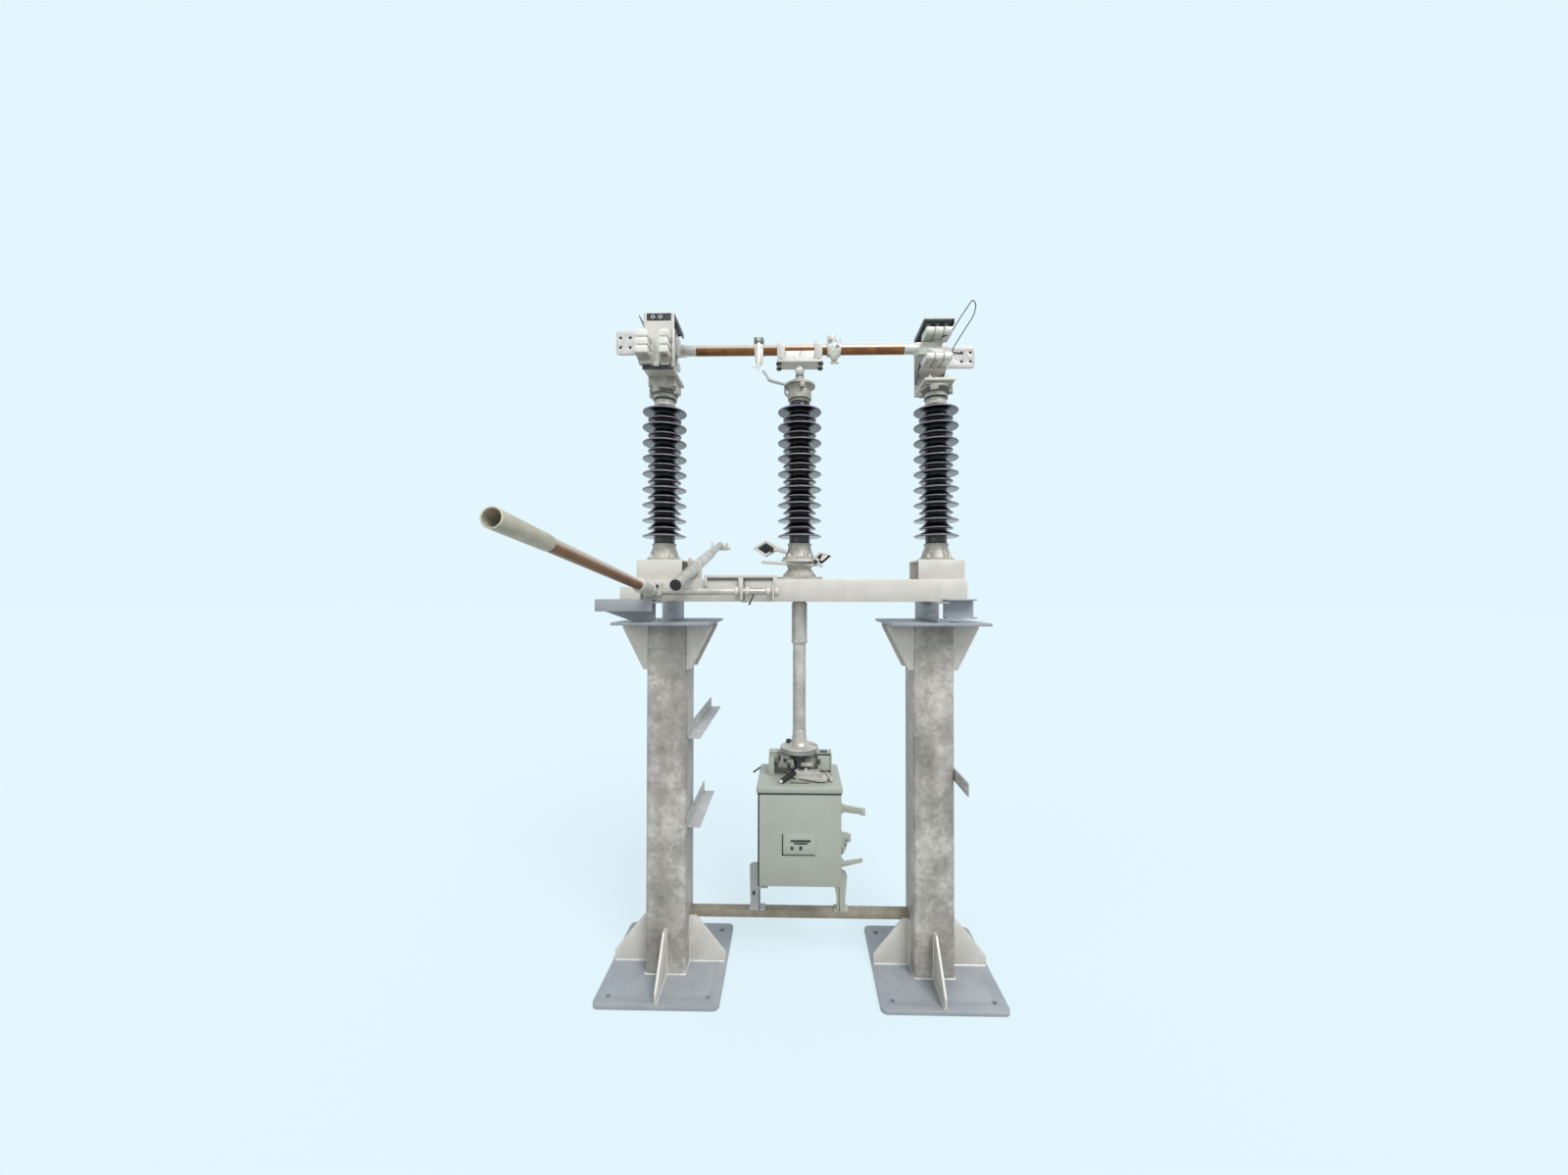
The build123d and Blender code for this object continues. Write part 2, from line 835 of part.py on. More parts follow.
def pipe_sleeve():
    z1 = beam_z - 6
    sleeve = ring_z(sleeve_radius, pipe_radius, z1 - sleeve_height, z1)
    return Pos(centre_x, 0, 0) * sleeve


def output_shaft():
    return Pos(centre_x, 0, 0) * rod(output_shaft_radius, lid_z, coupling_z)


# Operating box

def housing():
    half, deep = housing_width / 2, housing_depth / 2
    body = Pos(centre_x, 0, 0) * block(-half, half, -deep, deep, housing_bottom, lid_z)
    return fillet(body.edges().filter_by(Axis.Z), 8)


def lid():
    half, deep = housing_width / 2 + lid_overhang, housing_depth / 2 + lid_overhang
    body = Pos(centre_x, 0, 0) * block(-half, half, -deep, deep, lid_z, lid_top)
    body = fillet(body.edges().filter_by(Axis.Z), 10)
    return body - rod(output_shaft_radius + running_gap, lid_z - 1, lid_top + 1, centre_x)


def housing_leg(side):
    inner = housing_width / 2
    x0, x1 = inner, inner + leg_wall
    y0, y1 = bar_front, bar_front + bar_width
    leg = block(x0, x1, y0, y1, bar_top, leg_top)
    leg += block(x0, inner + leg_flange, y0, y0 + leg_wall, bar_top, leg_top)
    leg += block(inner - 24, inner + leg_flange, y0, y1, bar_top, bar_top + leg_wall)
    leg += block(inner - 30, inner, y0, y1, housing_bottom - leg_wall, housing_bottom)
    shape = leg if side > 0 else mirror(leg, Plane.YZ)
    return Pos(centre_x, 0, 0) * shape


def nameplate():
    front = -housing_depth / 2
    half = nameplate_width / 2
    middle = housing_bottom + nameplate_rise
    return Pos(centre_x, 0, 0) * block(-half, half, front - nameplate_thick, front,
                                         middle - nameplate_height / 2, middle + nameplate_height / 2)


def side_levers():
    """Two arms and a catch plate on the housing's right side."""
    face = housing_width / 2
    tip = face + side_lever_reach
    arm = housing_bottom + side_lever_rise
    upper = slab_xz([
        (face, arm - side_lever_height / 2), (tip, arm), (tip, arm + side_lever_height * 0.6),
        (face + side_lever_height / 3, arm + side_lever_height), (face, arm + side_lever_height * 1.2),
    ], -side_lever_y, -side_lever_y + side_lever_thick)
    foot_z = housing_bottom + side_lever_height / 2
    knee = face + side_lever_reach * 0.78
    lower = slab_xz([
        (face, foot_z), (face + side_lever_height / 2, foot_z), (knee, foot_z + side_lever_height * 0.8),
        (knee, foot_z + side_lever_height * 1.1), (face, foot_z + side_lever_height),
    ], -2 * side_lever_y, -2 * side_lever_y + side_lever_thick)
    low, high = housing_bottom + catch_rise, housing_bottom + catch_rise + catch_height
    catch = slab_xz([
        (face, low), (face + catch_width / 2, low + catch_width / 2),
        (face + catch_width, low + catch_height / 2), (face + catch_width, high), (face, high),
    ], -side_lever_y, -side_lever_y + side_lever_thick)
    return [Pos(centre_x, 0, 0) * piece for piece in (upper, lower, catch)]


def output_bracket():
    """Support yoke on the lid, left and right of the output coupling."""
    z1 = coupling_z - yoke_drop
    y0, y1 = yoke_front, yoke_back
    inner = y1 - yoke_wall
    pieces = []
    for way, reach, foot_length in ((1, yoke_right, yoke_right_foot), (-1, yoke_left, yoke_left_foot)):
        face = way * reach
        arm = block(face, face - way * yoke_wall, y0, y1, lid_top, z1)
        pieces.append(arm + block(face, face - way * foot_length, inner, y1, lid_top, z1))
    return [Pos(centre_x, 0, 0) * piece for piece in pieces]


def interlock_lever():
    x0, y0 = interlock_left, interlock_front
    plate = block(x0, x0 + interlock_length, y0, y0 + interlock_depth, lid_top, lid_top + interlock_height)
    x1, y1 = interlock_step_x, interlock_step_y
    plate += block(x1, x1 + interlock_step_length, y1, y1 + interlock_step_depth,
                   lid_top, lid_top + interlock_step_height)
    return Pos(centre_x, 0, 0) * plate


def lever_grip():
    turn = Rot(0, 0, grip_turn) * Rot(0, 90, 0)
    grip = Pos(grip_x, grip_y, lid_top + grip_radius + running_gap) * turn
    return Pos(centre_x, 0, 0) * grip * Cylinder(grip_radius, grip_length)


# Earthing switch, built upright and laid down about the shaft

def lowered(shape):
    turn = 90 - earth_rest_angle
    return Pos(0, shaft_y, shaft_z) * Rot(turn, 0, 0) * Pos(earth_blade_x, 0, 0) * shape


def earthing_shaft():
    return rod_x(shaft_radius, shaft_left, shaft_right, shaft_y, shaft_z)


def earthing_root():
    half = earth_hub_length / 2
    hub = rod_x(earth_hub_radius, -half, half, 0, 0)
    socket = rod(earth_socket_radius, shaft_radius, earth_root)
    body = hub + socket
    body -= rod_x(shaft_radius, -half - 1, half + 1, 0, 0)
    return lowered(body - rod(earth_tube_radius, earth_socket_floor, earth_root + 1))


def earthing_tube():
    top = earth_blade_length - earth_sleeve_length
    return lowered(ring_z(earth_tube_radius, earth_tube_radius - earth_tube_wall, earth_socket_floor, top))


def earthing_sleeve():
    z0 = earth_blade_length - earth_sleeve_length
    z1 = earth_blade_length
    wall = earth_sleeve_wall
    sleeve = turned([
        (earth_tube_radius - earth_tube_wall, z0),
        (earth_sleeve_root_radius, z0),
        (earth_sleeve_tip_radius, z1),
        (earth_sleeve_tip_radius - wall, z1),
        (earth_tube_radius - earth_tube_wall, z0 + 30),
    ])
    return lowered(sleeve)


def shaft_bearing(x, low, back):
    edge = shaft_radius + bearing_edge
    plate = block(x, x + bearing_strap, shaft_y - edge, back, low, shaft_z + edge)
    return plate - rod_x(shaft_radius + running_gap, x - 1, x + bearing_strap + 1, shaft_y, shaft_z)


def outer_bearing():
    """Long block on the outrigger's top leg."""
    x0 = shaft_left - outer_bearing_end
    z0 = outrigger_z + outrigger_height
    block_end = shaft_y + outer_bearing_half
    plate = block(x0, x0 + outer_bearing_length, shaft_y - outer_bearing_half, block_end, z0, shaft_z + 18)
    return plate - rod_x(shaft_radius + running_gap, x0 - 1, x0 + outer_bearing_length + 1, shaft_y, shaft_z)


def shaft_bearings():
    half = beam_depth / 2
    return [
        shaft_bearing(middle_bearing_x, beam_z + bearing_strap, -half),
        shaft_bearing(shaft_right - 2.5 * bearing_strap, beam_z, -half),
        outer_bearing(),
    ]


# Interphase linkage tube

def along_link(shape):
    return Pos(link_x, link_front, link_front_z) * Rot(link_rise - 90, 0, 0) * shape


def linkage_tube():
    length = (link_back - link_front) / cos(radians(link_rise))
    thin = (link_thin_from - link_front) / cos(radians(link_rise))
    tube = turned([
        (link_radius - link_wall, 0), (link_radius, 0), (link_radius, thin),
        (link_thin_radius, thin + 6), (link_thin_radius, length),
        (link_thin_radius - link_wall, length), (link_thin_radius - link_wall, thin - 6),
        (link_radius - link_wall, thin - 12),
    ])
    return along_link(tube)


def link_z(y):
    return link_front_z + (y - link_front) * sin(radians(link_rise)) / cos(radians(link_rise))


def linkage_clamp():
    half = link_radius + link_clamp_wall
    deep = link_clamp_length / 2
    top = link_z(deep) + half
    saddle = block(link_x - half, link_x + half, -deep, deep, beam_top, top)
    return saddle - along_link(Cylinder(link_radius, 4 * (link_back - link_front)))


def main():
    os.makedirs("parts", exist_ok=True)
    saved("left_base_plate", base_plate(0))
    saved("right_base_plate", base_plate(right_pedestal_x))
    saved("base_gussets", joined(base_gussets(0) + base_gussets(right_pedestal_x)))
    saved("left_column", column(0))
    saved("right_column", column(right_pedestal_x))
    saved("cap_plates", joined([cap_plate(0), cap_plate(right_pedestal_x)]))
    saved("cap_gussets", joined(cap_gussets(0) + cap_gussets(right_pedestal_x)))
    saved("cross_bar", cross_bar())
    saved("mechanism_rails", joined(mechanism_rails()))
    saved("column_lug", column_lug())
    saved("left_cross_channel", cross_channel(left_post_x, -1))
    saved("right_cross_channel", cross_channel(right_post_x, 1))
    saved("right_outrigger", right_outrigger())
    saved("shaft_outrigger", shaft_outrigger())
    saved("base_beam", base_beam())
    saved("pedestal_boxes", joined([pedestal_box(left_post_x), pedestal_box(right_post_x)]))
    saved("centre_bearing", centre_bearing())
    sides = (
        ("left", left_post_x, left_pad_reach, left_pad_rise, left_base_rise),
        ("right", right_post_x, right_pad_reach, right_pad_rise, right_base_rise),
    )
    for name, x, reach, rise, base_rise in sides:
        saved(f"{name}_foot", foot(x, box_top, foot_height))
        saved(f"{name}_insulator", insulator(x))
        saved(f"{name}_cap", outer_cap(x, base_rise))
        saved(f"{name}_jaw_frame", placed_jaw(jaw_frame(base_rise), name))
        saved(f"{name}_fingers", joined([placed_jaw(piece, name) for piece in jaw_fingers()]))
        saved(f"{name}_terminal_pad", placed_jaw(terminal_pad(reach, rise), name))
    saved("earthing_contact", joined(earthing_contact()))
    saved("turning_lever", turning_lever())
    lever_top = lever_z + lever_thick
    saved("centre_foot", foot(centre_x, lever_top, insulator_z - lever_top))
    saved("centre_insulator", insulator(centre_x))
    saved("centre_cap", centre_cap())
    saved("blade_bracket", blade_bracket())
    saved("blade_straps", joined([blade_strap(-strap_offset), blade_strap(strap_offset)]))
    saved("blade_tube", blade_tube())
    saved("blade_ends", joined([blade_end(-1), blade_end(1)]))
    saved("blade_clamps", joined([left_blade_clamp(), right_blade_clamp()]))
    saved("crank_arm", crank_arm())
    saved("drive_pipe", drive_pipe())
    saved("pipe_couplings", joined([pipe_coupling(), pipe_sleeve()]))
    saved("output_shaft", output_shaft())
    saved("box_housing", housing())
    saved("box_lid", lid())
    saved("box_legs", joined([housing_leg(-1), housing_leg(1)]))
    saved("nameplate", nameplate())
    saved("side_levers", joined(side_levers()))
    saved("output_bracket", joined(output_bracket()))
    saved("interlock_lever", interlock_lever())
    saved("lever_grip", lever_grip())
    saved("earthing_shaft", earthing_shaft())
    saved("earthing_root", earthing_root())
    saved("earthing_tube", earthing_tube())
    saved("earthing_sleeve", earthing_sleeve())
    saved("shaft_bearings", joined(shaft_bearings()))
    saved("linkage_tube", linkage_tube())
    saved("linkage_clamp", linkage_clamp())


main()
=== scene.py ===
# Three-post disconnect switch on two pedestals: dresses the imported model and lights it.
import json
import math

import bmesh
import bpy
from mathutils import Matrix, Vector

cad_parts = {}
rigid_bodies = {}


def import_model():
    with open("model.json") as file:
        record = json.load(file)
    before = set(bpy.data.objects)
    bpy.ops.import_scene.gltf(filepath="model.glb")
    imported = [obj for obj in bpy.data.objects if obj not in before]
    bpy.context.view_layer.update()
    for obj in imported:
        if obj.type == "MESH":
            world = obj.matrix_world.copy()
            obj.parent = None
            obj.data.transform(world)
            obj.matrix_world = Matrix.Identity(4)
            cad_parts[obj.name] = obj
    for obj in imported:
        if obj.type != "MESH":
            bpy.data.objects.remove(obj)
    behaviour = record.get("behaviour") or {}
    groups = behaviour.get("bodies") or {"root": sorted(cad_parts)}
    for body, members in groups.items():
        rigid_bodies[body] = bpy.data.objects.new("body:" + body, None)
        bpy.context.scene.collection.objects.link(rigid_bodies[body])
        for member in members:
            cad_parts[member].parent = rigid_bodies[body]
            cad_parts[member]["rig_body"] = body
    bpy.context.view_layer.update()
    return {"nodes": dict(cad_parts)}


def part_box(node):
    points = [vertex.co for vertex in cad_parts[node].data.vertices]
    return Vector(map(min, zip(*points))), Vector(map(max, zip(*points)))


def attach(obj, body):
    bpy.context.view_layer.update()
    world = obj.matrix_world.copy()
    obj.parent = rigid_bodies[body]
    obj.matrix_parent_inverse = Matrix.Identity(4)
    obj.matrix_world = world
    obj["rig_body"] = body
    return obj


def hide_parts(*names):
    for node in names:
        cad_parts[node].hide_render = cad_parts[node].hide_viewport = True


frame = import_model()
mm = 0.001
bodyOf = {node: ob["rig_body"] for node, ob in frame["nodes"].items()}


def hexColour(text):
    # sRGB hex to the linear values that sockets take
    values = [int(text[i:i + 2], 16) / 255 for i in (1, 3, 5)]
    return tuple(v / 12.92 if v <= 0.04045 else ((v + 0.055) / 1.055) ** 2.4 for v in values) + (1.0,)


def addNode(tree, kind, inputs=None, **settings):
    # one node with its settings; an input takes a value, another node's output or a list of outputs
    node = tree.nodes.new(kind)
    for key, value in settings.items():
        setattr(node, key, value)
    for key, value in (inputs or {}).items():
        for source in value if isinstance(value, list) else [value]:
            if isinstance(source, bpy.types.NodeSocket):
                tree.links.new(source, node.inputs[key])
            else:
                node.inputs[key].default_value = source
    return node.outputs


def bareTree(owner):
    # the empty shader tree of a material or a world
    owner.use_nodes = True
    owner.node_tree.nodes.clear()
    return owner.node_tree


def newObject(name, data):
    ob = bpy.data.objects.new(name, data)
    bpy.context.scene.collection.objects.link(ob)
    return ob


# Camera, floor and light

view = {"lens": 11.53, "sensor": 36, "reach": 200, "place": (0.5436, -2.2149, 1.6268),
        "yaw": 1.18, "pitch": 0.67, "roll": 0.08}
lens = bpy.data.cameras.new("camera")
lens.lens, lens.sensor_width, lens.clip_end = view["lens"], view["sensor"], view["reach"]
camera = newObject("camera", lens)
turn = Matrix.Rotation(math.radians(view["yaw"]), 4, "Z")
tilt = Matrix.Rotation(math.radians(90 + view["pitch"]), 4, "X")
roll = Matrix.Rotation(math.radians(view["roll"]), 4, "Z")
camera.matrix_world = Matrix.Translation(view["place"]) @ turn @ tilt @ roll
bpy.context.scene.camera = camera
bpy.context.scene.view_settings.view_transform = "Standard"
print("stage: camera")

surroundings = {
    "backdrop": "#E3F6FD",
    "worldTint": "#F6F8F8",
    "worldLevel": 0.72,
    "floorDiffuse": "#A0A29E",
    "floorSeen": "#D3DFE8",
    "floorGlow": 0.75,
    "floorReach": 60,
}
suns = {
    # name: (level, spread in degrees, turn in degrees)
    "keyLight": (2.2, 28, (40, 0, 32)),
    "fillLight": (0.35, 60, (62, 0, -40)),
}


def backdropRay(tree):
    # one for rays that see the backdrop itself: camera, mirror and glass rays
    path = addNode(tree, "ShaderNodeLightPath")
    mirror = addNode(tree, "ShaderNodeMath", {0: path["Is Glossy Ray"], 1: path["Is Transmission Ray"]},
                     operation="MAXIMUM")
    return addNode(tree, "ShaderNodeMath", {0: path["Is Camera Ray"], 1: mirror[0]}, operation="MAXIMUM")[0]


backdrop = hexColour(surroundings["backdrop"])
world = bpy.data.worlds.new("sky")
sky = bareTree(world)
plain = addNode(sky, "ShaderNodeBackground", {
    "Color": hexColour(surroundings["worldTint"]), "Strength": surroundings["worldLevel"]})
seenSky = addNode(sky, "ShaderNodeBackground", {"Color": backdrop, "Strength": 1.0})
skyMix = addNode(sky, "ShaderNodeMixShader", {0: backdropRay(sky), 1: plain[0], 2: seenSky[0]})
addNode(sky, "ShaderNodeOutputWorld", {"Surface": skyMix[0]})
bpy.context.scene.world = world

floorFinish = bpy.data.materials.new("paleFloor")
ground = bareTree(floorFinish)
floorTint = addNode(ground, "ShaderNodeMix", {
    0: backdropRay(ground), 6: hexColour(surroundings["floorDiffuse"]), 7: hexColour(surroundings["floorSeen"])},
    data_type="RGBA")
matt = addNode(ground, "ShaderNodeBsdfDiffuse", {"Color": floorTint[2]})
glow = addNode(ground, "ShaderNodeEmission", {"Color": backdrop, "Strength": 1.0})
share = addNode(ground, "ShaderNodeMath", {0: backdropRay(ground), 1: surroundings["floorGlow"]},
                operation="MULTIPLY")
groundMix = addNode(ground, "ShaderNodeMixShader", {0: share[0], 1: matt[0], 2: glow[0]})
addNode(ground, "ShaderNodeOutputMaterial", {"Surface": groundMix[0]})
floorMesh = bpy.data.meshes.new("floor")
reach = surroundings["floorReach"]
floorMesh.from_pydata([(x, y, 0) for x, y in ((-reach, -reach), (reach, -reach), (reach, reach), (-reach, reach))],
                      [], [(0, 1, 2, 3)])
floorMesh.materials.append(floorFinish)
newObject("floor", floorMesh)

for name, (level, spread, turnBy) in suns.items():
    lamp = bpy.data.lights.new(name, "SUN")
    lamp.energy, lamp.angle = level, math.radians(spread)
    newObject(name, lamp).rotation_euler = [math.radians(v) for v in turnBy]
print("stage: floor and light")


# Finishes

def mottled(name, tones, spread, sizes, shares, metallic, rough, stretch=(1, 1, 0.12), coat=0.0, rim=None):
    # base shader of every finish: patches, crystal grain and streaks between three tones
    material = bpy.data.materials.new(name)
    tree = bareTree(material)
    patchMm, grainMm, streakMm, bumpMm = sizes
    grain, streak, bumpShare = shares
    place = addNode(tree, "ShaderNodeTexCoord")["Object"]
    patches = addNode(tree, "ShaderNodeTexNoise", {
        "Vector": place, "Scale": 1000 / patchMm, "Detail": 5.0, "Roughness": 0.62})
    crystals = addNode(tree, "ShaderNodeTexVoronoi", {"Vector": place, "Scale": 1000 / grainMm})
    stretched = addNode(tree, "ShaderNodeMapping", {"Vector": place, "Scale": stretch})
    streaks = addNode(tree, "ShaderNodeTexNoise", {
        "Vector": stretched[0], "Scale": 1000 / streakMm, "Detail": 3.0})
    grey = addNode(tree, "ShaderNodeSeparateColor", {"Color": crystals["Color"]})
    blend = patches["Fac"]
    for source, amount in ((grey[0], grain), (streaks["Fac"], streak)):
        part = addNode(tree, "ShaderNodeMath", {0: source, 1: amount, 2: -amount / 2}, operation="MULTIPLY_ADD")
        blend = addNode(tree, "ShaderNodeMath", {0: blend, 1: part[0]}, operation="ADD")[0]
    ramp = addNode(tree, "ShaderNodeValToRGB", {"Fac": blend})
    dark, middle, light = [hexColour(tone) for tone in tones.split()]
    stops = ramp[0].node.color_ramp.elements
    stops[0].position, stops[1].position = 0.5 - spread, 0.5 + spread
    stops[0].color, stops[1].color = dark, light
    stops.new(0.5).color = middle
    roughness = addNode(tree, "ShaderNodeMapRange", {
        "Value": blend, "From Min": 0.3, "From Max": 0.7, "To Min": rough[0], "To Max": rough[1]})
    fine = addNode(tree, "ShaderNodeTexNoise", {"Vector": place, "Scale": 1000 / bumpMm, "Detail": 4.0})
    bump = addNode(tree, "ShaderNodeBump", {"Height": fine["Fac"], "Strength": bumpShare, "Distance": 0.001})
    tint = ramp[0]
    if rim:
        # painted highlight: paler where the piece's own rim attribute says so, on the glaze's shed rims and on the
        # copper tube's upper side
        edge = addNode(tree, "ShaderNodeAttribute", attribute_name="rim")
        tint = addNode(tree, "ShaderNodeMix", {0: edge["Fac"], 6: tint, 7: hexColour(rim)}, data_type="RGBA")[2]
    shader = addNode(tree, "ShaderNodeBsdfPrincipled", {
        "Metallic": metallic, "IOR": 1.5, "Coat Weight": coat, "Base Color": tint,
        "Roughness": roughness[0], "Normal": bump[0]})
    addNode(tree, "ShaderNodeOutputMaterial", {"Surface": shader[0]})
    return material


finishLooks = {
    # slot, dark middle light, spread, mm of patch grain streak bump, share of grain streak bump,
    # metallic, roughness
    # hot-dip galvanised steel, dull zinc with crystal patches
    "galvanisedSteel": ("galvanised", "#BAB7B0 #CDC9C2 #DFDDD7", 0.4, (90, 11, 60, 4), (0.1, 0.3, 0.12),
                        0.25, (0.45, 0.62)),
    # same zinc on the rolled columns: strong cloudy patches and drips
    "columnZinc": ("galvanised", "#85817B #A7A29C #D4D0C9", 0.26, (130, 16, 85, 5), (0.12, 0.6, 0.16),
                   0.25, (0.42, 0.66)),
    # smoother zinc on the drawn tubes
    "tubeZinc": ("galvanised", "#A39F99 #BCB7B0 #D8D4CD", 0.28, (70, 9, 50, 3), (0.1, 0.2, 0.06),
                 0.4, (0.38, 0.5)),
    # blue-grey zinc lying flat on the base and head plates
    "plateZinc": ("galvanised", "#8D9299 #9BA0A6 #ADAFB0", 0.34, (150, 7, 90, 4), (0.06, 0.2, 0.1),
                  0.25, (0.45, 0.6)),
    # nearly white zinc on the folded beam and its end boxes
    "paleZinc": ("galvanised", "#C4C0B9 #D2CEC7 #E2DFD9", 0.4, (90, 7, 70, 3), (0.06, 0.3, 0.06),
                 0.15, (0.42, 0.56)),
    # duller zinc on channels, rails and outriggers
    "channelZinc": ("galvanised", "#A2A2A2 #B4B4B3 #C9C8C6", 0.34, (90, 8, 60, 4), (0.08, 0.3, 0.12),
                    0.25, (0.45, 0.6)),
    # weathered zinc on the cross bar, gone beige
    "oldZinc": ("galvanised", "#7C7567 #8D8677 #A19C8E", 0.3, (60, 10, 60, 4), (0.16, 0.4, 0.15),
                0.2, (0.55, 0.7)),
    # silver paint over cast iron, faintly cream
    "castCap": ("cast_cap", "#8C897F #AEABA2 #CFCCC2", 0.28, (35, 4, 30, 2), (0.08, 0.1, 0.2),
                0.25, (0.4, 0.55)),
    # wet-process porcelain with brown glaze, glossy and nearly black, with a painted highlight on the shed rims
    "brownGlaze": ("brown_glaze", "#08070C #0D0B11 #15121A", 0.3, (45, 3, 25, 6), (0.04, 0.1, 0.03),
                   0.0, (0.14, 0.24), {"coat": 0.3, "rim": "#978F9C"}),
    # drawn copper tube, brown with handling, with a painted highlight along its upper side
    "copperTube": ("copper", "#66421F #84552B #A07243", 0.24, (40, 5, 12, 2), (0.06, 0.4, 0.05),
                   0.4, (0.32, 0.5), {"stretch": (0.06, 1, 1), "rim": "#D9C6B8"}),
    # tin-plated contact ends, soft cream silver
    "tinnedCopper": ("silvered", "#B9B6AC #D2D0C8 #E8E6DF", 0.3, (30, 4, 20, 2), (0.06, 0.2, 0.05),
                     0.45, (0.3, 0.42)),
    # terminal pads, fresh tin gone nearly white
    "paleTin": ("galvanised", "#C4C2BF #CFCDCA #DCDAD7", 0.3, (40, 4, 30, 2), (0.05, 0.15, 0.04),
                0.15, (0.45, 0.58)),
    # rubbed silver of the contact blocks
    "brightTin": ("silvered", "#DAD8D0 #EAE8E2 #F6F5F1", 0.3, (25, 4, 14, 2), (0.06, 0.2, 0.06),
                  0.2, (0.3, 0.42)),
    # handled tin of the long earthing sleeve, gone beige
    "sleeveTin": ("silvered", "#A9A495 #BEB9A9 #DEDACB", 0.3, (60, 4, 18, 3), (0.03, 0.5, 0.03),
                  0.2, (0.35, 0.48), {"stretch": (1, 0.05, 1)}),
    # oiled dark steel of bolts, shafts and knobs, also used as painted shade and shadow in holes, gaps, seams, slots
    # and openings
    "darkSteel": ("dark_steel", "#2E2F31 #434447 #5C5D5F", 0.3, (20, 3, 10, 1.5), (0.1, 0.1, 0.1),
                  0.6, (0.4, 0.55)),
    # dark zinc: painted shade on linings, sheltered undersides and the hollow under the cap rims, and the plain
    # colour of a few small dark parts
    "shadeSteel": ("dark_steel", "#474D4C #5E6463 #767C7A", 0.3, (30, 5, 20, 2), (0.08, 0.1, 0.06),
                   0.3, (0.45, 0.6)),
    # grey-green oven enamel on sheet steel
    "boxEnamel": ("box_paint", "#999F96 #A4A99F #AFB3A9", 0.4, (160, 2, 90, 1.8), (0.03, 0.2, 0.06),
                  0.0, (0.38, 0.46)),
    # worn pale enamel of the interlock lever
    "leverEnamel": ("dark_steel", "#9FA19A #B0B1A9 #C0C1B9", 0.3, (45, 3, 40, 2), (0.05, 0.3, 0.08),
                    0.0, (0.4, 0.52)),
    # brushed aluminium of the nameplate's rivets
    "brushedPlate": ("plate", "#A0A5A1 #B3B8B3 #C6CAC5", 0.3, (60, 2, 3, 1), (0.04, 0.5, 0.05),
                     0.7, (0.32, 0.42), {"stretch": (0.05, 1, 1)}),
    # moulded black rubber grip
    "blackGrip": ("grip", "#141414 #1E1E1F #2B2B2C", 0.3, (20, 2, 10, 1), (0.05, 0.1, 0.1),
                  0.0, (0.55, 0.7)),
    # zinc over a weld bead, bright and lumpy
    "weldZinc": ("galvanised", "#B4B6B5 #D0D2D1 #E8E9E8", 0.3, (14, 4, 8, 3), (0.1, 0.2, 0.2),
                 0.25, (0.4, 0.55)),
}
finishes = {name: mottled(name, *row[1:7], **(row[7] if len(row) > 7 else {}))
            for name, row in finishLooks.items()}
print("stage: finishes")


# Making pieces

def arc(points, steps=5):
    # rounds the (x, y, radius) corners of an outline, a closed ring when it ends where it starts
    ring = tuple(points[0][:2]) == tuple(points[-1][:2])
    corners = points[:-1] if ring else points
    out = []
    for i, point in enumerate(corners):
        here = Vector(point[:2])
        radius = point[2] if len(point) > 2 else 0
        if not radius or not ring and i in (0, len(corners) - 1):
            out.append(tuple(here))
            continue
        before, after = Vector(corners[i - 1][:2]) - here, Vector(corners[(i + 1) % len(corners)][:2]) - here
        cut = min(radius / math.tan(before.angle(after) / 2), before.length * 0.49, after.length * 0.49)
        a, b = here + before.normalized() * cut, here + after.normalized() * cut
        for t in (step / steps for step in range(steps + 1)):
            out.append(tuple(a * (1 - t) ** 2 + here * 2 * t * (1 - t) + b * t * t))
    return out


def circle(x, y, radius, count, start=0):
    angles = [math.radians(start + 360 * k / count) for k in range(count)]
    return [(x + radius * math.cos(a), y + radius * math.sin(a)) for a in angles]


def lathed(profile, segments=64):
    # closed shell turned round Z from (radius, height) points in mm, poles closed
    bm = bmesh.new()
    rings = []
    for radius, height in profile:
        ring = circle(0, 0, radius * mm, segments)[:segments if radius else 1]
        rings.append([bm.verts.new((x, y, height * mm)) for x, y in ring])
    for lower, upper in zip(rings, rings[1:]):
        for k in range(segments):
            n = (k + 1) % segments
            corners = [lower[k % len(lower)], lower[n % len(lower)], upper[n % len(upper)], upper[k % len(upper)]]
            face = list(dict.fromkeys(corners))
            if len(face) > 2:
                bm.faces.new(face)
    bmesh.ops.recalc_face_normals(bm, faces=bm.faces)
    return bm


def disc(radius, low, high, segments=64, lowEdge=0, highEdge=0, steps=5):
    # solid turned disc or pin between two heights
    return lathed(arc([(0, low), (radius, low, lowEdge), (radius, high, highEdge), (0, high)], steps), segments)


def tubed(outer, inner, low, high, edge=1.0, segments=48):
    # open tube along Z with rounded rims
    profile = arc([(inner, low, edge), (outer, low, edge), (outer, high, edge), (inner, high, edge),
                   (inner, low, edge)], 2)
    return lathed(profile + profile[:1], segments)


def plate(outline, thick, holes=()):
    # flat plate in XY from an outline in mm, with round holes (x, y, radius)
    bm = bmesh.new()
    edges = []
    for loop in [outline] + [circle(*hole, 20) for hole in holes]:
        verts = [bm.verts.new((x * mm, y * mm, 0)) for x, y in loop]
        edges += [bm.edges.new(pair) for pair in zip(verts, verts[1:] + verts[:1])]
    bmesh.ops.triangle_fill(bm, edges=edges, use_beauty=True, use_dissolve=False)
    bmesh.ops.dissolve_limit(bm, angle_limit=0.01, verts=bm.verts, edges=bm.edges)
    up = bmesh.ops.extrude_face_region(bm, geom=bm.faces[:])["geom"]
    bmesh.ops.translate(bm, vec=(0, 0, thick * mm), verts=[v for v in up if isinstance(v, bmesh.types.BMVert)])
    bmesh.ops.recalc_face_normals(bm, faces=bm.faces)
    return bm


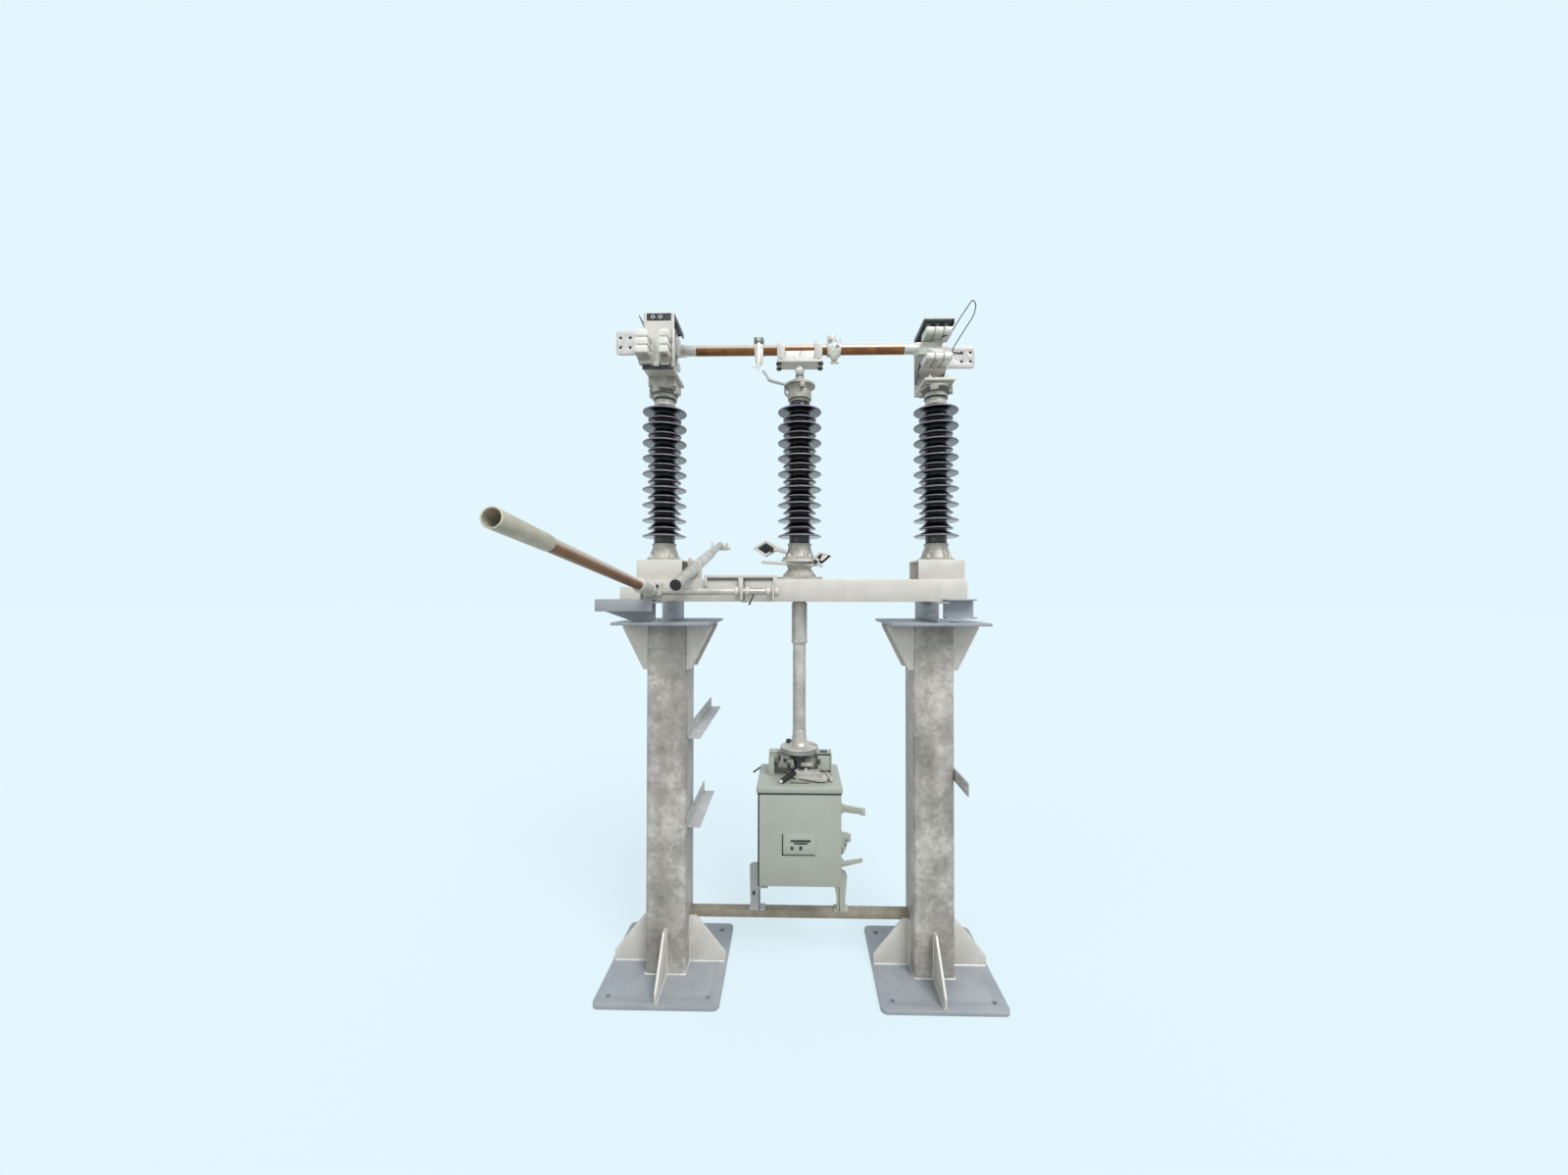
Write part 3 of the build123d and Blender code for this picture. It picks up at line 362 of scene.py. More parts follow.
def placed(bm, matrix):
    bmesh.ops.transform(bm, matrix=matrix, verts=bm.verts)
    return bm


def at(x, y, z, turnX=0, turnY=0, turnZ=0):
    # a place in mm and turns in degrees, X first
    turns = [Matrix.Rotation(math.radians(v), 4, a) for v, a in ((turnZ, "Z"), (turnY, "Y"), (turnX, "X"))]
    return Matrix.Translation((x * mm, y * mm, z * mm)) @ turns[0] @ turns[1] @ turns[2]


def sideways(outline, low, high):
    # outline in (Y, Z), as wide as low to high along X
    bm = plate(outline, high - low)
    return placed(bm, Matrix(((0, 0, 1, low * mm), (1, 0, 0, 0), (0, 1, 0, 0), (0, 0, 0, 1))))


def upright(outline, low, high, holes=()):
    # outline in (X, Z), as deep as low to high along Y
    bm = plate(outline, high - low, holes)
    return placed(bm, Matrix(((1, 0, 0, 0), (0, 0, -1, high * mm), (0, 1, 0, 0), (0, 0, 0, 1))))


def brick(low, high):
    # box between two corners in mm
    bm = bmesh.new()
    bmesh.ops.create_cube(bm, size=1)
    bmesh.ops.scale(bm, vec=[(h - l) * mm for l, h in zip(low, high)], verts=bm.verts)
    bmesh.ops.translate(bm, vec=[(h + l) * mm / 2 for l, h in zip(low, high)], verts=bm.verts)
    return bm


def bricks(origin, *rows):
    # boxes from rows of low X Y Z and high X Y Z, counted from an origin in mm
    x, y, z = origin
    return [brick((x + a, y + b, z + c), (x + d, y + e, z + f)) for a, b, c, d, e, f in rows]


def rod(a, b, radius, segments=16, edge=0.8):
    # round bar between two places in mm
    start, way = Vector(a), Vector(b) - Vector(a)
    turn = way.to_track_quat("Z", "Y").to_matrix().to_4x4()
    return placed(disc(radius, 0, way.length, segments, edge, edge, 2), Matrix.Translation(start * mm) @ turn)


def meshOf(bm, name):
    mesh = bpy.data.meshes.new(name)
    bm.to_mesh(mesh)
    bm.free()
    return mesh


def gathered(*parts):
    # several meshes in one
    whole = bmesh.new()
    for part in parts:
        mesh = meshOf(part, "part")
        whole.from_mesh(mesh)
        bpy.data.meshes.remove(mesh)
    return whole


def baked(ob, *helpers):
    # the object with its modifiers as a plain mesh; the object and its helpers go
    bpy.context.view_layer.update()
    mesh = bpy.data.meshes.new_from_object(ob.evaluated_get(bpy.context.evaluated_depsgraph_get()))
    for used in (ob, *helpers):
        bpy.data.objects.remove(used)
    return mesh


def carved(bm, *cutters):
    # one mesh with others cut out of it
    pair = [newObject("carve", meshOf(source, "carve")) for source in (bm, gathered(*cutters))]
    cut = pair[0].modifiers.new("cut", "BOOLEAN")
    cut.operation, cut.object, cut.solver = "DIFFERENCE", pair[1], "EXACT"
    out = bmesh.new()
    out.from_mesh(baked(*pair))
    return out


def softened(mesh, width):
    # rounds the sharp edges with a Bevel modifier
    ob = newObject("bevelled", mesh)
    bevel = ob.modifiers.new("edges", "BEVEL")
    bevel.width, bevel.segments, bevel.limit_method = width * mm, 2, "ANGLE"
    bevel.angle_limit, bevel.use_clamp_overlap = math.radians(32), True
    return baked(ob)


def piece(name, source, finish, edge=0.0, on=None, replaces=(), smoothTo=38):
    # makes a mesh, or several, a finished piece on its body: that of the node it stands for, or the frame
    mesh = gathered(*source) if isinstance(source, list) else source
    if isinstance(mesh, bmesh.types.BMesh):
        mesh = meshOf(mesh, name)
    if edge:
        mesh = softened(mesh, edge)
    mesh.name = name
    mesh.materials.clear()
    mesh.materials.append(finishes[finish])
    mesh.shade_smooth()
    mesh.set_sharp_from_angle(angle=math.radians(smoothTo))
    ob = newObject(name, mesh)
    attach(ob, on or (bodyOf[replaces[0]] if replaces else "frame"))
    if replaces:
        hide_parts(*replaces)
    return ob


def cadCopy(node):
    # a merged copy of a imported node, with its flat faces whole again
    bm = bmesh.new()
    bm.from_mesh(frame["nodes"][node].data)
    bmesh.ops.remove_doubles(bm, verts=bm.verts, dist=0.00002)
    bmesh.ops.dissolve_limit(bm, angle_limit=math.radians(0.6), verts=bm.verts, edges=bm.edges)
    return bm


def softCopy(node, finish, edge):
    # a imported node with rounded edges, standing for itself
    words = node.split("_")
    piece(words[0] + "".join(word.title() for word in words[1:]), [cadCopy(node)], finish, edge, replaces=[node])


def span(node):
    # a node's lowest and highest corners in mm
    return tuple([v / mm for v in corner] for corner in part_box(node))


def middleOf(node):
    return [(a + b) / 2 for a, b in zip(*span(node))]


# Geometry Nodes

def newTree(name, inputs):
    tree = bpy.data.node_groups.new(name, "GeometryNodeTree")
    for way in ("INPUT", "OUTPUT"):
        tree.interface.new_socket("Geometry", in_out=way, socket_type="NodeSocketGeometry")
    for label, value in inputs.items():
        kind = "Int" if isinstance(value, int) else "Float"
        tree.interface.new_socket(label, in_out="INPUT", socket_type="NodeSocket" + kind).default_value = value
    tree.interface.new_socket("Material", in_out="INPUT", socket_type="NodeSocketMaterial")
    return tree, addNode(tree, "NodeGroupInput")


def closeTree(tree, geometry, sockets):
    # every tree ends in real geometry with its material
    real = addNode(tree, "GeometryNodeRealizeInstances", {0: geometry[0]})
    coat = addNode(tree, "GeometryNodeSetMaterial", {0: real[0], "Material": sockets["Material"]})
    addNode(tree, "NodeGroupOutput", {0: coat[0]})
    return tree


def grown(tree, base, values, finish):
    # the plain mesh that a tree makes of a base mesh
    ob = newObject("base", base)
    grow = ob.modifiers.new("grow", "NODES")
    grow.node_group = tree
    ids = {item.name: item.identifier for item in tree.interface.items_tree if item.in_out == "INPUT"}
    for label, value in values.items():
        grow[ids[label]] = value
    grow[ids["Material"]] = finishes[finish]
    return baked(ob)


def boltTree():
    # hexagon head or nut on a washer, with the stud's end standing out
    tree, given = newTree("hexBolts", {
        "Across Flats": 0.018, "Head Height": 0.010, "Washer Radius": 0.015, "Washer Thickness": 0.0025,
        "Stud Radius": 0.006, "Stud Length": 0.006, "Seed": 3})
    thick, high, proud = given["Washer Thickness"], given["Head Height"], given["Stud Length"]
    corner = addNode(tree, "ShaderNodeMath", {0: given["Across Flats"], 1: 0.5774}, operation="MULTIPLY")[0]
    narrow = addNode(tree, "ShaderNodeMath", {0: corner, 1: 0.8}, operation="MULTIPLY")
    chamfer = addNode(tree, "ShaderNodeMath", {0: high, 1: 0.18}, operation="MULTIPLY")
    headTop = addNode(tree, "ShaderNodeMath", {0: thick, 1: high}, operation="ADD")[0]
    washer = addNode(tree, "GeometryNodeMeshCylinder", {
        "Vertices": 20, "Radius": given["Washer Radius"], "Depth": thick})
    head = addNode(tree, "GeometryNodeMeshCylinder", {"Vertices": 6, "Radius": corner, "Depth": high})
    crown = addNode(tree, "GeometryNodeMeshCone", {
        "Vertices": 6, "Radius Bottom": corner, "Radius Top": narrow[0], "Depth": chamfer[0]})
    stud = addNode(tree, "GeometryNodeMeshCylinder", {
        "Vertices": 10, "Radius": given["Stud Radius"], "Depth": proud})
    parts = []
    for shape, depth, share, start in ((washer, thick, 0.5, 0.0), (head, high, 0.5, thick),
                                       (crown, high, 0.0, headTop), (stud, proud, 0.5, headTop)):
        height = addNode(tree, "ShaderNodeMath", {0: depth, 1: share, 2: start}, operation="MULTIPLY_ADD")
        lift = addNode(tree, "ShaderNodeCombineXYZ", {"Z": height[0]})
        parts.append(addNode(tree, "GeometryNodeTransform", {0: shape[0], "Translation": lift[0]})[0])
    joined = addNode(tree, "GeometryNodeJoinGeometry", {0: parts})
    facing = addNode(tree, "GeometryNodeInputNamedAttribute", {"Name": "facing"}, data_type="FLOAT_VECTOR")
    aim = addNode(tree, "FunctionNodeAlignRotationToVector", {"Vector": facing["Attribute"]}, axis="Z")
    spin = addNode(tree, "FunctionNodeRandomValue", {3: 1.047, "Seed": given["Seed"]}, data_type="FLOAT")
    twist = addNode(tree, "FunctionNodeAxisAngleToRotation", {"Axis": (0, 0, 1), "Angle": spin[1]})
    turned = addNode(tree, "FunctionNodeRotateRotation", {"Rotation": aim[0], "Rotate By": twist[0]},
                     rotation_space="LOCAL")
    onSpots = addNode(tree, "GeometryNodeInstanceOnPoints", {
        "Points": given["Geometry"], "Instance": joined[0], "Rotation": turned[0]})
    return closeTree(tree, onSpots, given)


def beadTree():
    # weld bead or wire along edges: a round section whose surface ripples
    tree, given = newTree("weldBeads", {
        "Radius": 0.004, "Spacing": 0.004, "Ripple": 0.0012, "Ripple Size": 0.012, "Sides": 8})
    path = addNode(tree, "GeometryNodeMeshToCurve", {0: given["Geometry"]})
    even = addNode(tree, "GeometryNodeResampleCurve", {0: path[0], "Length": given["Spacing"]}, mode="LENGTH")
    ring = addNode(tree, "GeometryNodeCurvePrimitiveCircle", {
        "Resolution": given["Sides"], "Radius": given["Radius"]})
    skin = addNode(tree, "GeometryNodeCurveToMesh", {
        "Fill Caps": True, "Curve": even[0], "Profile Curve": ring[0]})
    rate = addNode(tree, "ShaderNodeMath", {0: 1.0, 1: given["Ripple Size"]}, operation="DIVIDE")
    noise = addNode(tree, "ShaderNodeTexNoise", {"Detail": 1.0, "Scale": rate[0]})
    centred = addNode(tree, "ShaderNodeMath", {0: noise["Fac"], 1: 0.5}, operation="SUBTRACT")
    size = addNode(tree, "ShaderNodeMath", {0: centred[0], 1: given["Ripple"]}, operation="MULTIPLY")
    normal = addNode(tree, "GeometryNodeInputNormal")
    push = addNode(tree, "ShaderNodeVectorMath", {0: normal[0], "Scale": size[0]}, operation="SCALE")
    moved = addNode(tree, "GeometryNodeSetPosition", {0: skin[0], "Offset": push[0]})
    return closeTree(tree, moved, given)


def stackTree():
    # one turned module repeated upwards and welded into a single skin
    tree, given = newTree("shedStack", {"Count": 9, "Pitch": 0.0686})
    step = addNode(tree, "ShaderNodeCombineXYZ", {"Z": given["Pitch"]})
    rows = addNode(tree, "GeometryNodeMeshLine", {"Count": given["Count"], "Offset": step[0]}, mode="OFFSET")
    copies = addNode(tree, "GeometryNodeInstanceOnPoints", {"Points": rows[0], "Instance": given["Geometry"]})
    real = addNode(tree, "GeometryNodeRealizeInstances", {0: copies[0]})
    whole = addNode(tree, "GeometryNodeMergeByDistance", {0: real[0], "Distance": 0.00005})
    return closeTree(tree, whole, given)


hexBolts, weldBeads, shedStack = boltTree(), beadTree(), stackTree()
up, down, front = (0, 0, 1), (0, 0, -1), (0, -1, 0)


def bolts(name, places, way, size, finish, on="frame"):
    # hexagon bolts that face one way; size in mm: flats, head height, washer radius, stud radius,
    # stud length, washer thickness
    labels = ("Across Flats", "Head Height", "Washer Radius", "Stud Radius", "Stud Length", "Washer Thickness")
    mesh = bpy.data.meshes.new("spots")
    mesh.from_pydata([(x * mm, y * mm, z * mm) for x, y, z in places], [], [])
    mesh.attributes.new("facing", "FLOAT_VECTOR", "POINT").data.foreach_set("vector", way * len(places))
    values = {label: value * mm for label, value in zip(labels, size)}
    piece(name, grown(hexBolts, mesh, values, finish), finish, on=on)


def wires(name, paths, size, finish):
    # beads, springs or wire along open lines in mm; size: radius, spacing, sides, ripple, ripple size
    verts, edges = [], []
    for path in paths:
        start = len(verts)
        verts += [(x * mm, y * mm, z * mm) for x, y, z in path]
        edges += [(k, k + 1) for k in range(start, len(verts) - 1)]
    mesh = bpy.data.meshes.new("lines")
    mesh.from_pydata(verts, edges, [])
    radius, spacing, sides, ripple, rippleSize = size
    values = {"Radius": radius * mm, "Spacing": spacing * mm, "Ripple": ripple * mm,
              "Ripple Size": rippleSize * mm, "Sides": sides}
    piece(name, grown(weldBeads, mesh, values, finish), finish)


print("stage: tools")


# Pedestals, beam and what hangs on them

softParts = {
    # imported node: (finish, edge radius in mm)
    "left_base_plate": ("plateZinc", 1.5),
    "right_base_plate": ("plateZinc", 1.5),
    "base_gussets": ("galvanisedSteel", 1.5),
    "cap_gussets": ("galvanisedSteel", 1.5),
    "cap_plates": ("plateZinc", 1.2),
    "left_column": ("columnZinc", 4.0),
    "right_column": ("columnZinc", 4.0),
    "cross_bar": ("oldZinc", 1.2),
    "mechanism_rails": ("channelZinc", 1.2),
    "column_lug": ("channelZinc", 1.0),
    "left_cross_channel": ("plateZinc", 1.6),
    "right_cross_channel": ("plateZinc", 1.6),
    "right_outrigger": ("plateZinc", 1.6),
    "shaft_outrigger": ("plateZinc", 1.6),
    "base_beam": ("paleZinc", 3.0),
    "pedestal_boxes": ("paleZinc", 2.2),
    "linkage_tube": ("tubeZinc", 0.8),
    "linkage_clamp": ("galvanisedSteel", 1.5),
    "earthing_shaft": ("tubeZinc", 1.0),
    "shaft_bearings": ("galvanisedSteel", 1.5),
    "drive_pipe": ("tubeZinc", 0.5),
}
for node, (finish, edge) in softParts.items():
    softCopy(node, finish, edge)

welds = {"bead": (3.6, 3.5, 7, 2.4, 9), "gussetThick": 10, "gussetReach": 155, "gussetHeight": 194,
         "capGussetReach": 190, "capGussetSides": (-73, -63, 63, 73), "columnHalf": 85}


def columnWelds(column):
    # beads round a column's ends and along both faces of its ribs
    (x0, _, z0), (x1, _, z1) = span(column)
    cx, half = (x0 + x1) / 2, (x1 - x0) / 2
    run = [(cx - half, -half), (cx + half, -half), (cx + half, half), (cx - half, half), (cx - half, -half)]
    paths = [[(x, y, z) for x, y in run] for z in (z0 + 1, z1 - 1)]
    thick, reach, high = welds["gussetThick"] / 2, half + welds["gussetReach"], z0 + welds["gussetHeight"]
    for k in range(4):
        spin = Matrix.Rotation(math.pi / 2 * k, 3, "Z")
        for side in (-thick, thick):
            path = [(reach, side, z0 + 1), (half, side, z0 + 1), (half, side, high)]
            paths.append([tuple(spin @ Vector(p) + Vector((cx, 0, 0))) for p in path])
    return paths


def capWelds(x):
    # beads along the ribs under a head plate
    top, face = span("cap_plates")[0][2], welds["columnHalf"]
    return [[(x + way * welds["capGussetReach"], y, top - 1), (x + way * face, y, top - 1),
             (x + way * face, y, top - welds["gussetHeight"])] for way in (-1, 1) for y in welds["capGussetSides"]]


wires("columnWelds", columnWelds("left_column") + columnWelds("right_column") + capWelds(0) + capWelds(1132),
      welds["bead"], "weldZinc")
print("stage: structure")


# Post insulators, their feet and caps

sheds = {"core": 46, "large": 96.5, "small": 73.5, "pitch": 68.6, "first": 41, "modules": 8,
         "below": 17.15, "rimBand": 3.2, "segments": 72, "weld": 0.05}


def shedEdge(reach, middle):
    # underside, rounded rim and sloping top of one shed
    core = sheds["core"]
    return [(core, middle - 12.5, 7), (reach - 6, middle - 13.5, 5), (reach - 0.6, middle - 11.5, 2.4),
            (reach, middle - 7.5, 2.4), (reach - 8, middle - 3.4, 8), (core, middle + 13.5, 10)]


def rimmed(profile, steps, lift=0):
    # a turned part of the stack that stores how close each point is to its shed's rim, for the painted rim highlight
    look = sheds
    bm = lathed(arc(profile, steps), look["segments"])
    band = bm.verts.layers.float.new("rim")
    for vert in bm.verts:
        radius = math.hypot(vert.co.x, vert.co.y) / mm
        reach = look["large"] if (vert.co.z / mm) % look["pitch"] < look["pitch"] / 2 else look["small"]
        vert[band] = min(1.0, max(0.0, (radius - reach + look["rimBand"]) / look["rimBand"]))
    return placed(bm, at(0, 0, lift))


def insulator(side):
    look = sheds
    core, pitch, node = look["core"], look["pitch"], side + "_insulator"
    (x0, _, z0), (x1, _, z1) = span(node)
    bottom = z0 + look["first"] - look["below"]
    top = bottom + look["modules"] * pitch
    large, small = look["below"], look["below"] + pitch / 2
    lowShed = shedEdge(look["large"], large)
    module = rimmed([(core, 0)] + lowShed + shedEdge(look["small"], small) + [(core, pitch)], 4)
    stack = bmesh.new()
    stack.from_mesh(grown(shedStack, meshOf(module, "module"), {
        "Count": look["modules"], "Pitch": pitch * mm}, "brownGlaze"))
    placed(stack, at(0, 0, bottom))
    foot = rimmed([(0, z0), (core - 2, z0, 1), (core, z0 + 3, 2), (core, bottom)], 3)
    head = rimmed([(core, 0)] + lowShed + [(core, z1 - top - 4, 2), (core - 3, z1 - top, 1), (0, z1 - top)], 4, top)
    whole = gathered(stack, foot, head)
    bmesh.ops.remove_doubles(whole, verts=whole.verts, dist=look["weld"] * mm)
    piece(side + "Insulator", placed(whole, at((x0 + x1) / 2, 0, 0)), "brownGlaze", replaces=[node], smoothTo=50)


feet = {"flange": 74, "flangeThick": 10, "neck": 47, "waist": 0.62, "ribs": 8, "ribThick": 7, "ribTop": 0.72,
        "bolts": 4, "boltCircle": 62, "boltTurn": 45, "bolt": (17, 9, 13.5, 5.5, 7, 2)}


def castFoot(side):
    look = feet
    flange, thick, neck, node = look["flange"], look["flangeThick"], look["neck"], side + "_foot"
    (x0, _, z0), (x1, _, z1) = span(node)
    x, height = (x0 + x1) / 2, z1 - z0
    parts = [lathed(arc([(0, 0), (flange, 0, 1.5), (flange, thick, 2), (neck + 12, thick + 1, 5),
                         (neck + 3, height * look["waist"], 12), (neck + 3, height - 9, 2), (neck + 6, height - 6, 2),
                         (neck + 6, height - 0.5, 1.5), (0, height)], 3), 56)]
    ribTop, half = height * look["ribTop"], look["ribThick"] / 2
    for k in range(look["ribs"]):
        rib = plate([(neck, thick - 1), (flange - 6, thick - 1), (flange - 8, thick + 4), (neck + 4, ribTop),
                     (neck, ribTop)], look["ribThick"])
        placed(rib, at(0, 0, 0, 90) @ at(0, 0, -half))
        parts.append(placed(rib, at(0, 0, 0, 0, 0, (k + 0.5) * 360 / look["ribs"])))
    piece(side + "Foot", placed(gathered(*parts), at(x, 0, z0)), "castCap", 1.2, replaces=[node])
    ring = [(px, py, z0 + thick) for px, py in circle(x, 0, look["boltCircle"], look["bolts"], look["boltTurn"])]
    bolts(side + "FootBolts", ring, up, look["bolt"], "galvanisedSteel", bodyOf[node])


caps = {"neck": 42, "low": 50, "high": 55, "top": 68, "rim": 58, "spacer": 58, "lugs": 4, "lugWide": 32,
        "lugHigh": 26, "turn": -20}


def castCap(side):
    # deep cup on the insulator's neck, with four square bolt pads under its rim
    look = caps
    neck, low, high, top, node = look["neck"], look["low"], look["high"], look["top"], side + "_cap"
    (x0, _, z0), (x1, _, z1) = span(node)
    height = min(z1 - z0, look["rim"])
    under, place = height - look["lugHigh"], at((x0 + x1) / 2, 0, z0)
    parts = [lathed(arc([(0, 0), (neck, 0, 1), (neck, 12, 1), (low, 14, 2), (low + 1, 30, 4), (high, height - 12, 5),
                         (top, height - 9, 3), (top, height - 0.8, 1.5), (0, height)], 3), 56)]
    half = look["lugWide"] / 2
    for k in range(look["lugs"]):
        pad = brick((high - 10, -half, under), (top + 3, half, height - 1))
        parts.append(placed(pad, at(0, 0, 0, 0, 0, look["turn"] + k * 360 / look["lugs"])))
    if z1 - z0 > height:
        half = look["spacer"]
        parts.append(brick((-half, -half, height - 1), (half, half, z1 - z0)))
    # painted shadow: a dark ring under the cap's rim that shows between the bolt pads
    underRimShadow = lathed(arc([(0, under), (high + 1.4, under, 2), (high + 1.4, height - 8.5), (0, height - 8.5)], 2), 56)
    collar = lathed(arc([(0, -20), (neck + 4.6, -20, 1), (neck + 4.6, -3, 2), (neck + 0.5, -1, 2),
                         (neck + 0.5, 12), (0, 12)], 3), 56)
    piece(side + "CapShadow", placed(underRimShadow, place), "shadeSteel", on=bodyOf[node])
    piece(side + "Cap", placed(gathered(*parts), place), "castCap", 1.5, replaces=[node])
    piece(side + "CapJoint", placed(disc(low + 1.5, 11, 16, 56, 2, 2, 3), place), "brownGlaze", on=bodyOf[node])
    piece(side + "CapCollar", placed(collar, place), "tubeZinc", on=bodyOf[node])


for make, sides in ((insulator, ("left", "centre", "right")), (castFoot, ("left", "centre", "right")),
                    (castCap, ("left", "right"))):
    for side in sides:
        make(side)
print("stage: insulators, feet and caps")


# Jaws, drawn at the origin with the closed side towards +Y and heights above the ground

def helix(x, y, low, high, radius, turns):
    ring, count = circle(x, y, radius, 12), turns * 12
    return [(*ring[k % 12], low + (high - low) * k / count) for k in range(count + 1)]


def moved(path, matrix):
    return [tuple(matrix @ Vector((x * mm, y * mm, z * mm)) / mm) for x, y, z in path]


jawLook = {"thick": 6, "bend": 12, "flange": 20, "mouth": -60, "back": 126, "baseThick": 12, "half": 65,
           "window": (-57, 47, 2774, 2806), "finger": 35, "fingerPitch": 38, "fingerDeep": 32, "clear": 39.4,
           "shelfFront": 25, "lowerBack": 57, "spring": (1.6, 3, 6, 0, 12), "springEnds": (-12, 20)}


def jaw(side, turn, shift, backShade):
    look = jawLook
    thick, bend, mouth, back, flange = look["thick"], look["bend"], look["mouth"], look["back"], look["flange"]
    place = at(middleOf(side + "_foot")[0], 0, 0, 0, 0, turn)
    low, high = span(side + "_jaw_frame")
    blade = middleOf("blade_tube")[2]
    base, top = low[2], high[2]
    x0, x1 = shift - look["half"], shift + look["half"]
    roof, web, shelf = top - thick, back - thick, look["shelfFront"]
    fold = sideways(arc([(web, base + 2), (back, base + 2), (back, top, bend), (mouth, top, 2),
                         (mouth, roof, 1), (web, roof, bend - thick)], 4), x0, x1)
    a, b, c, d = look["window"]
    fold = carved(fold, brick((a, web - 8, c), (b, back + 20, d)))
    foot = brick((x0, -70, base), (x1, web + 4, base + look["baseThick"]))
    shelfTop = blade - look["clear"] - look["fingerDeep"]
    ledge = sideways(arc([(web + 2, shelfTop), (web + 2, shelfTop - 6), (shelf, shelfTop - 6, 1),
                          (shelf, shelfTop)], 2), x0 + 6, x1 - 6)
    cheeks = [sideways([(web + 1, shelfTop + 30), (web + 1, shelfTop - 40), (shelf + 34, shelfTop - 3),
                        (shelf + 10, shelfTop + 24)], x, x + 5) for x in (x0 + 3, x1 - 8)]
    # painted shade: the back plate, the roof lining with the cheeks, and the dark bands at the mouth and side flanges
    # stand for shade inside the jaw
    inner = brick((x0 + 10, web - 12, roof - 36), (x1 - 10, web + 0.5, roof - 4))
    lining = brick((x0 + 7, mouth + 3, roof - 4), (x1 - 7, web - 14, roof + 0.5))
    dark = [brick((x0 + 12, mouth + 3, roof - 7), (x1 - 12, mouth + 9, roof - 3))]
    dark += [sideways(arc([(mouth, roof + 1), (mouth + 4, roof - flange, 6), (web, roof - flange, 4),
                           (web, roof + 1)], 3), x, x + 4) for x in (x0, x1 - 4)]
    blocks, springs = [], []
    half, under, over, deep = look["finger"] / 2, blade - look["clear"], blade + look["clear"], look["fingerDeep"]
    for x in (-look["fingerPitch"], 0, look["fingerPitch"]):
        lower = [(look["lowerBack"], under - deep), (mouth, under - deep, 9), (mouth, under, 13),
                 (look["lowerBack"], under)]
        upper = [(shelf - 8, roof), (shelf - 8, over + deep), (mouth, over + deep, 9), (mouth, over, 13),
                 (shelf, over, 4), (shelf, roof)]
        blocks += [sideways(arc(outline, 5), x - half, x + half) for outline in (lower, upper)]
        springs.append(helix(x, -26, over + deep - 2, roof + 1, 8, 4))
    # the cheeks, back and bands below are the jaw's painted shade
    for name, parts, finish, edge, nodes in (
            ("JawFrame", [fold, foot, ledge], "galvanisedSteel", 1.2, [side + "_jaw_frame"]),
            ("JawShadeCheeks", [lining] + cheeks, "shadeSteel", 0.8, []), ("JawShadeBack", [inner], backShade, 0.8, []),
            ("JawShadeBands", dark, "darkSteel", 0.8, []),
            ("Fingers", blocks, "tinnedCopper", 1.4, [side + "_fingers"])):
        piece(side + name, placed(gathered(*parts), place), finish, edge, replaces=nodes)
    for start in look["springEnds"]:
        # short springs lie flat behind the window
        springs.append([(x, web + 6 + (z - 5) * 0.9, 2790 + (y - web + 4))
                        for x, y, z in helix(start, web - 4, 0, 10, 7, 3)])
    wires(side + "JawSprings", [moved(path, place) for path in springs], look["spring"], "weldZinc")
    seats = [(x, y, base + look["baseThick"]) for x in (-38, 38) for y in (-46, 38)]
    bolts(side + "JawBolts", moved(seats, place), up, feet["bolt"], "galvanisedSteel")


jaw("right", 0, 0, "shadeSteel")
jaw("left", 180, -5, "darkSteel")

pads = {"corner": 13, "pitch": 41, "edge": 19, "hole": 6.5}


def terminalPad(side, way):
    # pale tinned pad with four bolt holes
    look = pads
    pitch, hole, node = look["pitch"], look["hole"], side + "_terminal_pad"
    (x0, y0, z0), (x1, y1, z1) = span(node)
    inner, outer = (x0, x1)[::way]
    middle = (z0 + z1) / 2
    holes = [(outer - way * (look["edge"] + k * pitch), middle + s * pitch / 2, hole)
             for k in (0, 1) for s in (-1, 1)]
    outline = arc([(inner, z0), (outer, z0, look["corner"]), (outer, z1, look["corner"]), (inner, z1)], 4)
    piece(side + "TerminalPad", upright(outline, y0, y1, holes), "paleTin", 0.9, replaces=[node])
    backs = [placed(disc(hole, 0, 3, 20), at(x, y1 - 1, z, 90)) for x, z, _ in holes]
    piece(side + "PadShade", backs, "darkSteel")


terminalPad("left", -1)
terminalPad("right", 1)

earthJaw = {"gap": 45.8, "leftShift": 12, "rightShift": 6, "block": 30, "rise": 33, "tongue": 26,
            "band": (-97, 33, 2567, 2586), "strip": (33, 9, 2575, 2737), "flap": (-101, 2773)}


